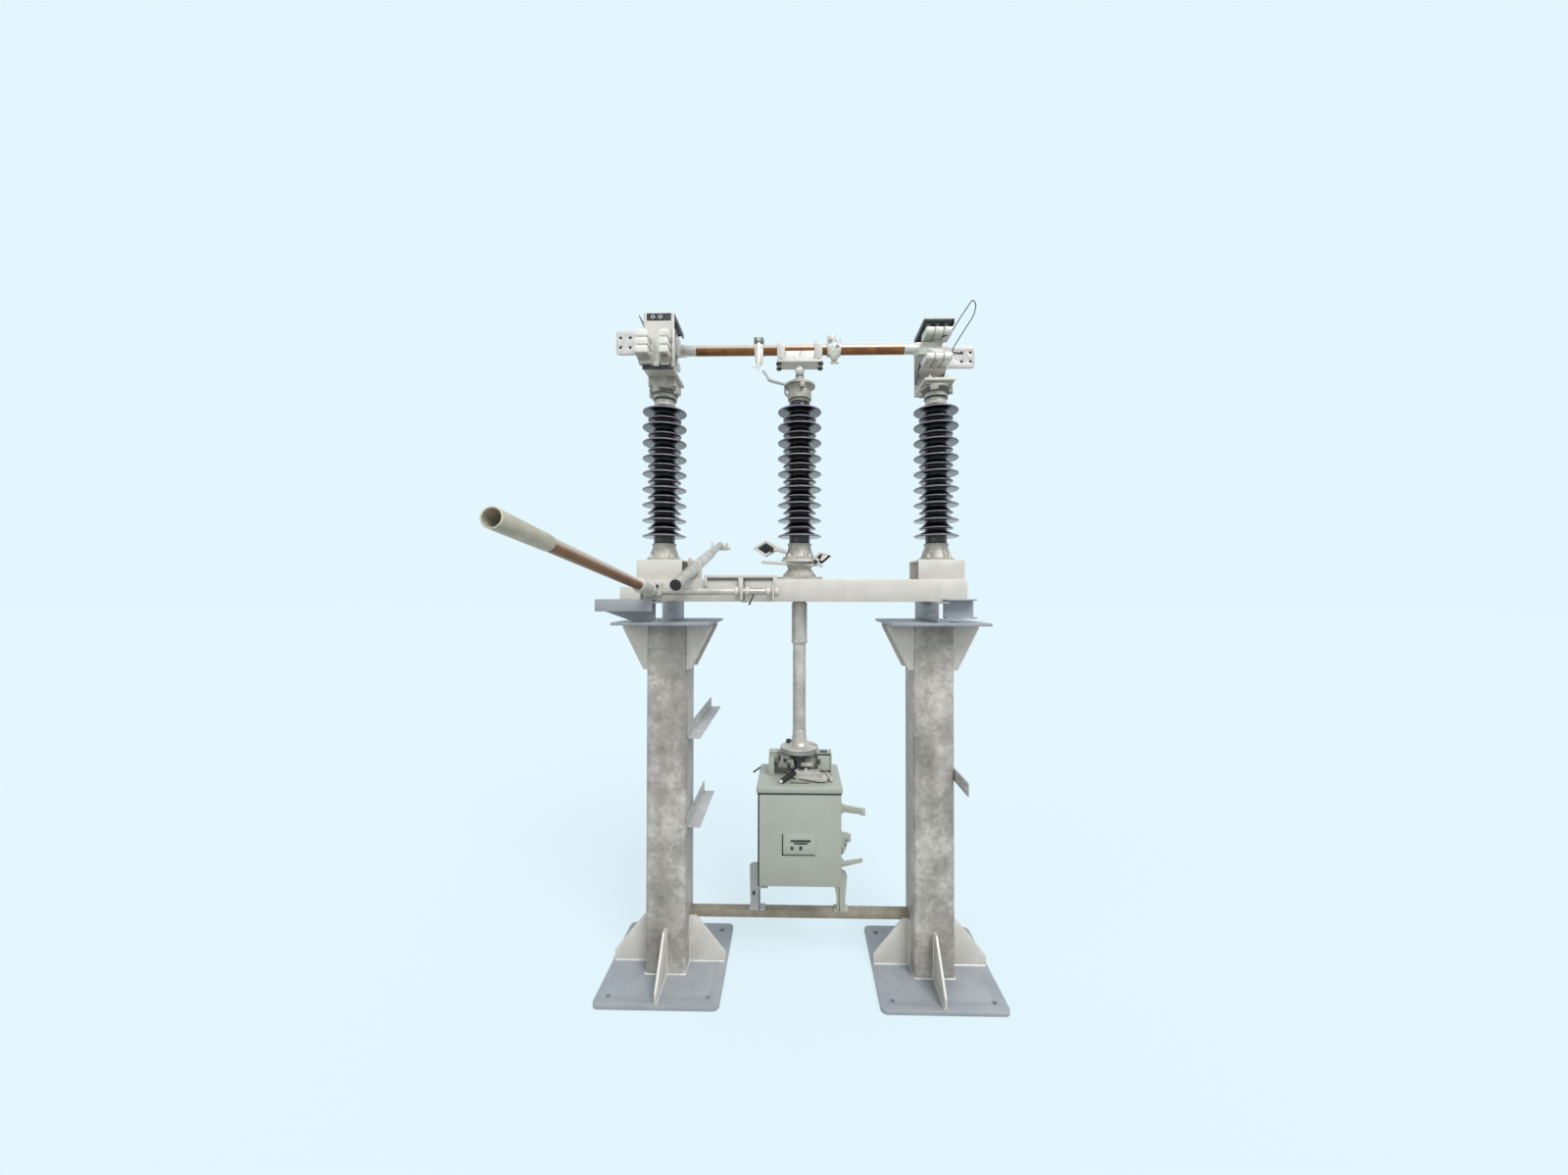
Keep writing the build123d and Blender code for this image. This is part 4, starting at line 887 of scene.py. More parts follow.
def earthingJaw():
    # two stacks of rounded contacts on the left web, with a tongue and a guide strip beside them
    look = earthJaw
    (x0, y0, z0), (x1, y1, z1) = span("earthing_contact")
    middle = (x0 + x1) / 2  # the earthing blade comes up here
    x0, x1, half = x0 - look["leftShift"], x1 - look["rightShift"], look["gap"] / 2
    rounds, ledges = [], []
    for a, b, near, far in ((x0, middle - half, 12, 3), (middle + half, x1, 3, 8)):
        for k in range(3):
            low, high = z0 + k * look["rise"] + 1, z0 + k * look["rise"] + look["block"]
            rounds.append(upright(arc([(a + 1, low, near), (b, low, far), (b, high, 9), (a + 1, high, 9),
                                       (a + 1, low, near)], 4), y0, y1))
        ledges.append(sideways(arc([(y1 + 1, z0 + 1), (y0 + 3, z0 + 1), (y0 + 3, z0 - 4, 2),
                                    (y1 - 26, z0 - 10, 4), (y1 + 1, z0 - 26)], 3), a + 2, b - 2))
    piece("earthingContacts", rounds, "brightTin", 3.0, replaces=["earthing_contact"])
    piece("earthingLedges", ledges, "castCap", 0.8)
    a, b, c, d = look["band"]
    # painted shadow: a dark band along the foot of the left jaw's web
    piece("webShadowBand", brick((a, y1 - 2, c), (b, y1 + 1, d)), "darkSteel", 0.5)
    piece("earthingStubs", [brick((x0 + 6, y1 - 20, z0 - 24), (middle - 24, y1, z0 - 3)),
                            brick((middle + 26, y1 - 14, z0 - 28), (x1 - 6, y1, z0 - 5))], "galvanisedSteel", 3.0)
    half = look["tongue"] / 2
    strips = []
    for low, high, rear, face in ((z0 - 32, z1 + 6, y1 - 5, y1 + 0.5), (z0 - 34, z0 - 12, y1 - 13, y1 - 4)):
        strips.append(upright(arc([(middle - half, low, 12), (middle + half, low, 12), (middle + half, high, 4),
                                   (middle - half, high, 4), (middle - half, low, 12)], 5), rear, face))
    piece("earthingTongue", strips, "tinnedCopper", 1.5)
    x, radius, low, high = look["strip"]
    piece("guideStrip", placed(disc(radius, low, high, 28, 3, 3, 3), at(x, y1, 0)), "tubeZinc")
    x, z = look["flap"]
    piece("springFlap", placed(brick((-2, -26, -27), (2, 26, 27)), at(x, y1 + 26, z, 0, -24, 0)), "darkSteel", 0.6)


earthingJaw()
print("stage: jaws")


# Turning head: cap and ball, bracket, tube with its ends, clamps and crank arm

centre = middleOf("centre_foot")[0]
tubeLow, tubeHigh = span("blade_tube")
axis, radius = (tubeLow[2] + tubeHigh[2]) / 2, (tubeHigh[2] - tubeLow[2]) / 2
tubeHalf = (tubeHigh[0] - tubeLow[0]) / 2


def topHighlighted(bm, share=0.4):
    # marks the upper side of a lying tube for a painted highlight
    band = bm.verts.layers.float.new("rim")
    bm.normal_update()
    for vert in bm.verts:
        vert[band] = min(1.0, max(0.0, (vert.normal.z + 0.1) / share))
    return bm


def lying(profile, x, segments=48):
    # turned shape laid along the blade's own line, its profile heights being X from the given place
    return placed(lathed(profile, segments), at(x, 0, axis, 0, 90, 0))


def bore(x, reach, slack=0.0):
    # what the blade tube cuts out of a piece that holds it
    return lying([(0, -reach), (radius + slack, -reach), (radius + slack, reach), (0, reach)], x)


headLook = {"cap": 52, "neck": 41, "flange": 69, "flangeThick": 8, "dome": 42, "domeDrop": 53.5, "ball": 22,
            "ballDrop": 20, "stem": 17, "lugs": (100, 280), "lugWide": 20, "nut": 38, "nutThick": 9, "nutDrop": 49}


def centreHead():
    look = headLook
    cap, neck, flange, stem, dome = look["cap"], look["neck"], look["flange"], look["stem"], look["dome"]
    base, bracket = span("centre_cap")[0][2], span("blade_bracket")[0][2]
    rim = bracket - look["domeDrop"] - dome
    parts = [lathed(arc([(0, base), (neck, base, 1), (neck, base + 9, 1), (cap, base + 11, 2), (cap, base + 24, 3),
                         (cap - 2, rim - 8, 4), (cap + 3, rim, 2), (flange, rim, 1.5),
                         (flange, rim + look["flangeThick"], 2), (flange - 8, rim + 13, 6), (40, rim + 25, 12),
                         (stem + 4, rim + dome - 4, 6), (stem, rim + dome + 4, 3), (0, rim + dome + 5)], 4), 64)]
    half = look["lugWide"] / 2
    parts += [placed(brick((cap - 8, -half, rim - 22), (flange - 2, half, rim + 1)), at(0, 0, 0, 0, 0, turn))
              for turn in look["lugs"]]
    piece("centreCap", placed(gathered(*parts), at(centre, 0, 0)), "castCap", 1.2, replaces=["centre_cap"])
    arch = [math.radians(a) for a in range(40, 150, 10)]
    ball = [(look["ball"] * math.sin(a), bracket - look["ballDrop"] - look["ball"] * math.cos(a)) for a in arch]
    ball = lathed([(0, bracket - 50), (13, bracket - 50)] + ball + [(14, bracket + 1), (0, bracket + 1)], 40)
    piece("headBall", placed(ball, at(centre, 0, 0)), "brightTin", 0.8, "centre_post")
    nut = plate(circle(0, 0, look["nut"] / 2, 6), look["nutThick"])
    piece("headNut", placed(nut, at(centre, 0, bracket - look["nutDrop"])), "shadeSteel", 1.0, "centre_post")


deckLook = {"thick": 14, "saddle": (1.5, 63.5), "saddleHalf": 20, "strap": 82, "strapHalf": 17, "strapReach": 26.5,
            "deckBolt": (19, 5, 12.5, 6, 1, 1), "strapBolt": (10, 6, 7, 3, 3)}


def saddlesAndStraps():
    look = deckLook
    (x0, y0, z0), (x1, y1, _) = span("blade_bracket")
    top, hold = z0 + look["thick"], axis - 0.55 * radius
    deck = sideways(arc([(y1, top - 6, 0.1), (y1, top), (y0, top), (y0, top - 11, 3), (y0 + 4, z0 + 3),
                         (y0 + 12, z0), (y1, z0)], 2), x0, x1)
    piece("bladeDeck", deck, "galvanisedSteel", 1.0, replaces=["blade_bracket"])
    half, wide, reach = look["saddleHalf"], look["strapHalf"], look["strapReach"]
    saddles, straps = [], []
    for way, stand in ((-1, 1), (1, 7)):
        a, b = sorted(centre + way * side for side in look["saddle"])
        block = sideways(arc([(-half, top - 1), (half, top - 1), (half, hold, 3), (-half, hold, 3)], 3), a, b)
        saddles.append(carved(block, bore((a + b) / 2, 40)))
        x, crown = centre + way * look["strap"], axis + radius + 4 + stand
        ring = sideways(arc([(-reach, top), (-reach, crown, 22), (reach, crown, 22), (reach, top)], 8),
                        x - wide, x + wide)
        straps.append(carved(ring, bore(x, 40), brick((x - 40, -radius, top - 5), (x + 40, radius, axis))))
        straps.append(brick((x - wide, -34, top), (x + wide, -24, top + 5)))
    piece("bladeSaddles", saddles, "brightTin", 0.8, "centre_post")
    piece("bladeStraps", straps, "paleTin", 1.2, replaces=["blade_straps"])
    bolts("deckBolts", [(centre + way * 92, y, z0) for way in (-1, 1) for y in (-24, 24)], down, look["deckBolt"],
          "darkSteel", "centre_post")
    bolts("strapBolts", [(centre + way * look["strap"], -30, top + 5) for way in (-1, 1)], up, look["strapBolt"],
          "galvanisedSteel", "centre_post")


bladeLook = {"wall": 4, "bar": 26, "thick": 20, "pad": 39, "padFrom": 598, "padTo": 622}


def bladeAndEnds():
    look = bladeLook
    inner, half, bar, pad = radius - look["wall"], tubeHalf, look["bar"], look["pad"]
    start, stop = look["padFrom"], look["padTo"]
    tube = lying(arc([(inner, -half, 0.8), (radius, -half, 1), (radius, half, 1), (inner, half, 0.8)], 2)
                 + [(inner, -half)], centre, 56)
    piece("bladeTube", topHighlighted(tube), "copperTube", replaces=["blade_tube"])
    reach = (span("blade_ends")[1][0] - span("blade_ends")[0][0]) / 2
    ends = []
    for turn in (0, 180):
        plug = lathed(arc([(0, half - 2), (radius + 0.8, half - 2, 0.6), (radius + 0.8, half + 6, 1),
                           (radius, half + 8, 1), (radius, half + 62, 3), (0, half + 64)], 3), 48)
        placed(plug, at(0, 0, 0, 0, 90, 0))
        flat = upright(arc([(half + 40, -radius, 1), (half + 64, -bar, 4), (start - 8, -bar, 3), (start, -pad, 2),
                            (stop, -pad, 4), (reach, 6 - pad, 4), (reach, pad - 6, 4), (stop, pad, 4),
                            (start, pad, 2), (start - 8, bar, 3), (half + 64, bar, 4), (half + 40, radius, 1),
                            (half + 40, -radius)], 3), -look["thick"] / 2, look["thick"] / 2)
        ends.append(placed(gathered(plug, flat), at(centre, 0, axis, 0, 0, turn)))
    piece("bladeEnds", ends, "tinnedCopper", 1.4, replaces=["blade_ends"])


def ringed(x, z, points, steps, low, high):
    # closed upright plate whose corners are counted from a place
    return upright(arc([(x + p[0], z + p[1], *p[2:]) for p in points + points[:1]], steps), low, high)


clampLook = {
    "left": -180, "right": 150, "wall": 7,
    # corners from the clamp's own middle as (x, height, radius), steps of the rounding, depths
    "cheeks": ([(-18, -4, 3), (-15, -62, 10), (-5, -84, 3), (12, -74, 4), (19, -56, 6), (19, -4, 3)], 3, -29, -21),
    "needle": ([(-6, 18, 3), (7, 18, 3), (7, -62, 8), (1, -104, 1), (-3, -106, 1), (-8, -66, 8)], 3, -35, -28),
    "tail": ([(-33, -6, 3), (32, -6, 3), (30, -24, 4), (10, -62, 3), (-8, -62, 3), (-26, -28, 4)], 3, -33, -21),
    "foot": [(-16, -66, 1), (-16, -74, 1), (20, -74, 1), (20, -70, 1), (8, -58, 2), (-8, -58, 2)],
    # (x, y, radius, height)
    "lumps": ((-10, -8, 19, 38), (16, -4, 16, 26), (4, 10, 14, 34)),
    # play round the tube, and the spur's turned profile
    "slack": 0.2, "spur": [(0, -31), (2.2, -30, 1), (2.8, 8, 1), (0, 9)],
}


def clamps():
    look = clampLook
    outer, x = radius + look["wall"], centre + look["left"]
    ring = carved(lying(arc([(0, -20), (outer, -20, 3), (outer, 20, 3), (0, 20)], 3), x),
                  bore(x, 60, look["slack"]))
    piece("leftClampTop", brick((x - 21, -24, axis + radius - 6), (x + 21, 16, axis + 47)), "shadeSteel", 1.0,
          "centre_post")
    piece("leftClampBody", [ring, ringed(x, axis, *look["cheeks"])], "galvanisedSteel", 1.5,
          replaces=["blade_clamps"])
    spur = placed(lathed(arc(look["spur"], 2), 12), at(x, -25, axis - 86, 0, 90, 0))
    piece("leftClampNeedle", [ringed(x, axis, *look["needle"]), spur], "brightTin", 1.0, "centre_post")
    heads = [(x, -15, axis + 35)]
    x = centre + look["right"]
    ring = carved(lying(arc([(0, -30), (outer, -30, 5), (outer + 3, 0, 9), (outer, 30, 5), (0, 30)], 4), x),
                  bore(x, 60, look["slack"]))
    lumps = [placed(disc(r, 0, h, 24, 3, 5, 4), at(x + dx, dy, axis + 18)) for dx, dy, r, h in look["lumps"]]
    piece("rightClampBody", [ring] + lumps, "weldZinc", 2.0, "centre_post")
    foot = upright(arc([(x + dx, axis + dz, r) for dx, dz, r in look["foot"]], 2), -30, -24)
    piece("rightClampTail", [ringed(x, axis, *look["tail"]), foot], "castCap", 1.2, "centre_post")
    heads += [(x - 14, -20, axis + 34), (x + 15, -22, axis + 4)]
    bolts("clampBolts", heads, front, feet["bolt"], "galvanisedSteel", "centre_post")


crankLook = {
    # corners from the arm's far end, then from its root: (x, height, radius)
    "bend": [(50, 2561, 10), (25, 2570, 8), (16, 2592, 8), (0, 2612, 2), (6, 2617, 2), (23, 2600, 8),
             (32, 2579, 8), (54, 2570, 10)],
    "root": [(2, 2559, 2), (9, 2552, 4), (8, 2515, 8), (24, 2497, 3), (19, 2492, 3), (1, 2512, 8)],
    "level": 2550, "half": 8,
}


def crankArm():
    look = crankLook
    far, root = span("crank_arm")[0][0], span("crank_arm")[1][0]
    start = (root - 1, look["level"], 1)
    arm = [start] + [(far + x, z, r) for x, z, r in look["bend"]]
    arm += [(root + x, z, r) for x, z, r in look["root"]] + [start]
    piece("crankArm", upright(arc(arm, 4), -look["half"], look["half"]), "channelZinc", 1.2, replaces=["crank_arm"])


centreHead()
saddlesAndStraps()
bladeAndEnds()
clamps()
crankArm()
print("stage: head")


# Earthing blade, its shaft and the linkage tube

shaftEnd = span("earthing_shaft")[1][0]
shaftY, shaftZ = middleOf("earthing_shaft")[1:]
earthLook = {
    "rise": 7, "cheek": (-34, -30, -14, 38, 4, 34),
    # round parts along the blade: from, to, radius, segments, edge
    "rounds": ((10, 205, 25.5, 40, 3), (60, 76, 29, 32, 2), (176, 196, 28, 32, 2)),
    "keeps": (12, 8, 60, 9, 20), "heads": ((-22, -28, 24), (24, -26, 22)), "bolt": (12, 8, 9, 4, 4),
    "collars": (-72, 300, 345, 430), "collar": (14, 21, 28, 2), "endCollar": 10,
    "crank": [(-9, -14, 12), (9, -14, 12), (7, 62, 9), (-7, 62, 9), (-9, -14, 12)], "crankHole": (0, 54, 4),
    "crankX": 388, "crankTurn": 205,
}


def earthingBlade():
    look, rise = earthLook, math.radians(earthLook["rise"])
    piece("earthingTube", topHighlighted(cadCopy("earthing_tube")), "copperTube", replaces=["earthing_tube"], smoothTo=30)
    along = Vector((0, -math.cos(rise), math.sin(rise)))
    low, high = span("earthing_sleeve")
    outer = (high[0] - low[0]) / 2
    length = (high[1] - low[1] - 2 * outer * math.sin(rise)) / math.cos(rise)
    sleeve = lathed(arc([(0, 12), (outer - 4.5, 12, 1), (outer - 3.4, length, 1), (outer, length, 1),
                         (outer - 1.7, 6, 3), (outer - 4, 0, 2), (0, 0)], 3), 64)
    foot = Vector(middleOf("earthing_sleeve")) - along * length / 2
    turn = along.to_track_quat("Z", "Y").to_matrix().to_4x4()
    piece("earthingSleeve", placed(sleeve, Matrix.Translation(foot * mm) @ turn), "sleeveTin",
          replaces=["earthing_sleeve"], smoothTo=40)
    start = Vector((middleOf("earthing_root")[0], shaftY, shaftZ))
    rounds = [rod(start + along * a, start + along * b, *size) for a, b, *size in look["rounds"]]
    piece("earthingRoot", [cadCopy("earthing_root"), gathered(*bricks(start, look["cheek"]), *rounds)],
          "galvanisedSteel", 1.2, replaces=["earthing_root"])
    aside, back, ahead, *size = look["keeps"]
    sides = [start + Vector((side * aside, 0, 0)) for side in (-1, 1)]
    piece("earthingKeeps", [rod(place - along * back, place + along * ahead, *size) for place in sides],
          "tubeZinc", on="earthing_blade")
    bolts("rootBolts", [start + Vector(head) for head in look["heads"]], front, look["bolt"], "darkSteel",
          "earthing_blade")


def shaftParts():
    look = earthLook
    wide, *size = look["collar"]
    collars = [rod((x, shaftY, shaftZ), (x + wide, shaftY, shaftZ), *size)
               for x in (*look["collars"], shaftEnd - look["endCollar"])]
    piece("shaftCollars", collars, "galvanisedSteel", on="earthing_blade")
    crank = upright(arc(look["crank"], 5), -8, 0, [look["crankHole"]])
    piece("shaftCrank", placed(crank, at(look["crankX"], shaftY, shaftZ, look["crankTurn"], 0, 90)), "shadeSteel",
          1.0, "earthing_blade")


guardLook = {
    # boxes from the beam's front top edge: low x y z, high x y z
    "shadow": ((176, -7, -3, 466, 0, 6), (329, -26, -90, 333, 1, -2)),
    "guard": ((164, -9, 5, 470, -1, 17), (164, -9, -30, 176, 1, 6), (454, -9, -30, 466, 1, 6),
              (308, -24, -4, 324, 1, 4), (312, -30, -92, 330, -22, 4), (324, -30, -98, 346, 1, -90)),
}
beamEdge = (0, span("base_beam")[0][1], span("base_beam")[1][2])

leverLook = {
    "lift": 24, "disc": (80, 12, 30), "deep": 26, "cut": (-90, 40), "liningDeep": (20, 24),
    # each arm and what is cut out of it, corners from the lever's middle: (x, height, radius)
    "arms": (
        ([(-202, 29, 2), (-146, 66, 3), (-90, 37, 3), (-58, 22, 3), (-58, 8, 2), (-102, 20, 4), (-146, -6, 3)],
         [(-184, 29, 3), (-146, 54, 4), (-108, 29, 3), (-146, 5, 4)]),
        ([(-166, -24, 2), (60, -37, 8), (88, -22, 6), (98, 0, 3), (138, -2, 3), (96, -38, 8), (105, -48, 2),
          (98, -50, 2), (84, -44, 6), (58, -48, 8), (-166, -34, 2)],),
        ([(56, -14, 3), (88, 16, 3), (140, -2, 2), (96, -38, 4)],
         [(73, -12, 3), (89, 5, 3), (122, -3, 3), (97, -26, 3)])),
    "linings": ([(-190, 29), (-146, 60), (-100, 29), (-146, -2)], [(66, -12), (89, 12), (130, -3), (97, -32)]),
    "heads": ((-120, -54, 20), (68, -54, -30)), "bolt": (13, 7, 9, 4, 5),
}


def turningLever():
    # disc under the centre post with two folded clamp arms
    look = leverLook
    middle, y, height = middleOf("turning_lever")
    height += look["lift"]
    wide, thick, drop = look["disc"]
    parts = [placed(disc(wide, 0, thick, 56, 2, 2, 3), at(middle, 0, height - drop))]
    for shapes in look["arms"]:
        arm, *hole = [[(middle + x, height + z) for x, z in arc(shape + shape[:1], 4)] for shape in shapes]
        arm = upright(arm, -2 * look["deep"], 0)
        parts.append(carved(arm, upright(hole[0], *look["cut"])) if hole else arm)
    body = bodyOf["turning_lever"]
    # painted shade: dark plates behind the arms' openings
    linings = [upright([(middle + x, height + z) for x, z in shape], *look["liningDeep"])
               for shape in look["linings"]]
    piece("leverOpeningShade", linings, "darkSteel", on=body)
    piece("turningLever", parts, "galvanisedSteel", 1.0, replaces=["turning_lever"])
    bolts("leverHeads", [(middle + x, y, height + z) for x, y, z in look["heads"]], front, look["bolt"],
          "darkSteel", body)


linkLook = {
    "rise": 13, "mouth": (3, 12, 3.5),
    # boxes from the tube's far end: low x y z, high x y z
    "fork": ((-46, -8, -26, 62, 4, -14), (-52, -6, -22, -44, 2, 24), (-4, -22, -30, 48, 8, -2),
             (34, -16, -8, 48, 4, 12)),
    "boltIn": (7, 10), "bolt": (11, 6, 6.8, 3.5, 4),
}


def linkage():
    look = linkLook
    (x0, y0, z0), (x1, y1, z1) = span("linkage_tube")
    x, rise = (x0 + x1) / 2, math.radians(look["rise"])
    along, start = Vector((0, math.cos(rise), math.sin(rise))), Vector((x, y0 - 2, z0 + 24))
    piece("linkageForks", bricks((x, y1 + 2, z1 - 19), *look["fork"]), "galvanisedSteel", 2.0)
    near, far, wall = look["mouth"]
    # painted shade: a black plug inside the open end of the tube
    piece("linkageMouthShade", rod(start + along * near, start + along * far, (x1 - x0) / 2 - wall, 36), "blackGrip")
    (x0, y0, z0), (x1, y1, z1) = span("linkage_clamp")
    inX, inY = look["boltIn"]
    bolts("linkageBolts", [(x, y, z1) for x in (x0 + inX, x1 - inX) for y in (y0 + inY, y1 - inY)], up,
          look["bolt"], "galvanisedSteel")


earthingBlade()
shaftParts()
piece("guardShadow", bricks(beamEdge, *guardLook["shadow"]), "shadeSteel", 0.6)
piece("beamGuard", bricks(beamEdge, *guardLook["guard"]), "paleZinc", 1.2)
turningLever()
linkage()
print("stage: earthing blade and linkage")

# stiff guard wire bent up beside the right jaw: rises from the pad, turns and runs back down
guardWire = {
    "size": (2.2, 6, 8, 0, 12),
    "path": [(1322, 111, 2736), (1322, 107, 2736), (1296, 107, 2739), (1270, 104, 2742), (1269, 80, 2751),
             (1273, 60, 2758), (1300, 0, 2802), (1313, -25, 2821), (1320, -40, 2838), (1324, -50, 2863),
             (1321, -52, 2878), (1311, -53, 2890), (1301, -53, 2882), (1291, -52, 2866), (1250, -48, 2805),
             (1217, -40, 2748), (1183, -36, 2740)],
}
wires("guardWire", [guardWire["path"]], guardWire["size"], "blackGrip")
print("stage: guard wire")


# Operating box with its doors, levers and output coupling

boxLow, boxHigh = span("box_housing")
lidLow, lidHigh = span("box_lid")
boxTop = lidHigh[2]
boxLook = {
    "gap": 6, "door": 4, "slot": (526, -98, -1, 607, -88, 0.8),
    "rivet": [(0, 0), (2.4, 0), (2.4, 1, 1), (0, 1.6)], "rivetIn": 7,
    # print on the nameplate: left and right from its sides, low and high from its top or its foot
    "lines": ((30, 22, 36, 26), (44, 34, 45, 38)), "figures": ((30, 18, 42, 32), (66, 18, 78, 34)),
}


def operatingBox():
    look = boxLook
    (x0, y0, z0), (x1, y1, z1) = boxLow, boxHigh
    gap, face = look["gap"], y0 + look["door"]
    piece("boxHousing", [brick((x0, face, z0), (x1, y1, z1 - 1)),
                         brick((x0 + gap + 1, y0, z0 + 3), (x1 - 1, face + 2, z1 - gap - 2))],
          "boxEnamel", 2.2, replaces=["box_housing"])
    # painted shade: dark strips in the gaps beside and above the door
    piece("boxSeal", [brick((x0 + 0.5, y0 + 1, z0 + 2), (x0 + gap + 4, face + 2, z1)),
                      brick((x0 + 2, y0 + 1, z1 - gap - 4), (x1 - 2, face + 2, z1))], "darkSteel", 0.5)
    softCopy("box_lid", "boxEnamel", 5)
    # painted shade: a dark strip under the lid's front skirt
    under = brick((lidLow[0] + 3, lidLow[1] + 2, z1 - 4), (lidHigh[0] - 3, lidLow[1] + 8, z1 + 1))
    piece("lidLip", under, "darkSteel", 0.6)
    piece("boxBottom", [brick((x0 + 10, y0 + 12, z0 - 3), (x1 - 10, y1 - 12, z0 + 1)),
                        brick((x0 + 12, y0 + 18, z0 - 16), (x0 + 42, y0 + 50, z0 + 1))], "boxEnamel", 1.5)


def nameplate():
    look = boxLook
    (x0, y0, z0), (x1, y1, z1) = span("nameplate")
    piece("nameplate", brick((x0, y0, z0), (x1, y1, z1)), "boxEnamel", 0.8, replaces=["nameplate"])
    # painted shadow: a dark L along the nameplate's left side and foot
    piece("nameplateShadow", [brick((x0 - 5, y0 + 1, z0 - 5), (x0 + 3, y1, z1 - 4)),
                             brick((x0 - 5, y0 + 1, z0 - 5), (x1 - 4, y1, z0 + 3))], "darkSteel", 0.5)
    marks = [brick((x0 + a, y0 - 0.4, z1 - b), (x1 - c, y0 + 0.6, z1 - d)) for a, c, b, d in look["lines"]]
    marks += [brick((x0 + a, y0 - 0.4, z0 + b), (x0 + c, y0 + 0.6, z0 + d)) for a, b, c, d in look["figures"]]
    piece("nameplateMarks", marks, "darkSteel")
    inset = look["rivetIn"]
    piece("nameplateRivets", [placed(lathed(arc(look["rivet"], 2), 12), at(x, y0, z, 90))
                              for x in (x0 + inset, x1 - inset) for z in (z0 + inset, z1 - inset)], "brushedPlate")


legLook = {
    "sheet": 6, "back": 22,
    # corners from the box's right side and the feet: (x, height, radius)
    "right": [(-8, 2, 2), (-9, 70, 16), (-16, 104, 16), (-40, 122, 4), (-40, 176, 4), (6, 190, 4),
              (30, 176, 10), (38, 158, 8), (30, 60, 10), (30, 2, 2)],
    "hole": (12, -1, 68, 25, 1, 86),
}


def boxLegs():
    look = legLook
    (x0, y0, z0), (x1, y1, z1) = span("box_legs")
    thick, left, right = look["sheet"], boxLow[0], boxHigh[0]
    shape = upright(arc([(x0 - 4, z0 + 2, 3), (x0 + 4, z0 + 26, 6), (x0, z1 - 34, 8), (x0 + 8, z1 - 26, 4),
                         (left + 1, z1 - 20, 3), (left + 1, z0 + 2, 3), (x0 - 4, z0 + 2)], 4), y0, y0 + thick)
    piece("leftLeg", [shape, brick((left - thick, y0, z0), (left, y1, z1)),
                      brick((x0 - 2, y0, z0), (left + look["back"], y1, z0 + thick))],
          "channelZinc", 1.2, replaces=["box_legs"])
    # painted shade: a dark block in the leg's hole
    piece("legHole", bricks((x0, y0, z0), look["hole"]), "darkSteel", 0.4)
    piece("rightLeg", [ringed(right, z0, look["right"], 4, y0, y0 + thick),
                       brick((right, y0, z0), (right + thick, y1, z1)),
                       brick((right - 20, y0, z0), (x1 - 2, y1, z0 + thick))], "boxEnamel", 1.2)


sideLook = {
    # outline of each plate with its depth, (x from the box's side, height, radius)
    "plates": (
        ([(-1, 664, 2), (20, 682, 6), (100, 673, 3), (100, 668, 2), (112, 667, 2), (112, 697, 2), (98, 698, 3),
          (22, 712, 8), (8, 722, 6), (-1, 740, 2)], -32, -22),
        ([(-1, 440, 2), (16, 448, 4), (98, 468, 4), (102, 484, 4), (24, 470, 8), (14, 482, 8), (-1, 486, 2)],
         -32, -22),
        ([(-1, 492, 2), (14, 500, 4), (28, 520, 6), (36, 550, 4), (50, 556, 3), (50, 586, 3), (28, 592, 5),
          (-1, 598, 2)], -30, -18)),
    "mounts": ((-1, -40, 440, 5, -12, 474), (-1, -40, 676, 5, -12, 710)),
    "tip": (92, -34, 669, 112, -20, 698),
    "heads": ((36, -30, 570), (30, -30, 552), (14, -30, 536), (18, -30, 520), (11, -33, 468)),
    "bolt": (10, 6, 7, 3, 3),
}


def sideLevers():
    # two flat arms and a catch with its bolts on the right side
    look, face = sideLook, (boxHigh[0], 0, 0)
    plates = [upright(arc([(face[0] + x, z, r) for x, z, r in shape], 4), *deep)
              for shape, *deep in look["plates"]]
    piece("sideLevers", plates + bricks(face, *look["mounts"]), "boxEnamel", 1.2, replaces=["side_levers"])
    piece("leverTip", bricks(face, look["tip"]), "channelZinc", 1.5)
    bolts("catchBolts", [(face[0] + x, y, z) for x, y, z in look["heads"]], front, look["bolt"], "channelZinc")


(couplingX0, _, couplingLow), (couplingX1, _, couplingHigh) = span("pipe_couplings")
postX = middleOf("pipe_couplings")[0]
couplingLook = {"inset": 7, "sleeve": (34, 177), "rib": (36, 33, 6, 12), "pocket": (58, 2, 9, 20),
                "bolt": (22, 13, 15, 7, 4)}


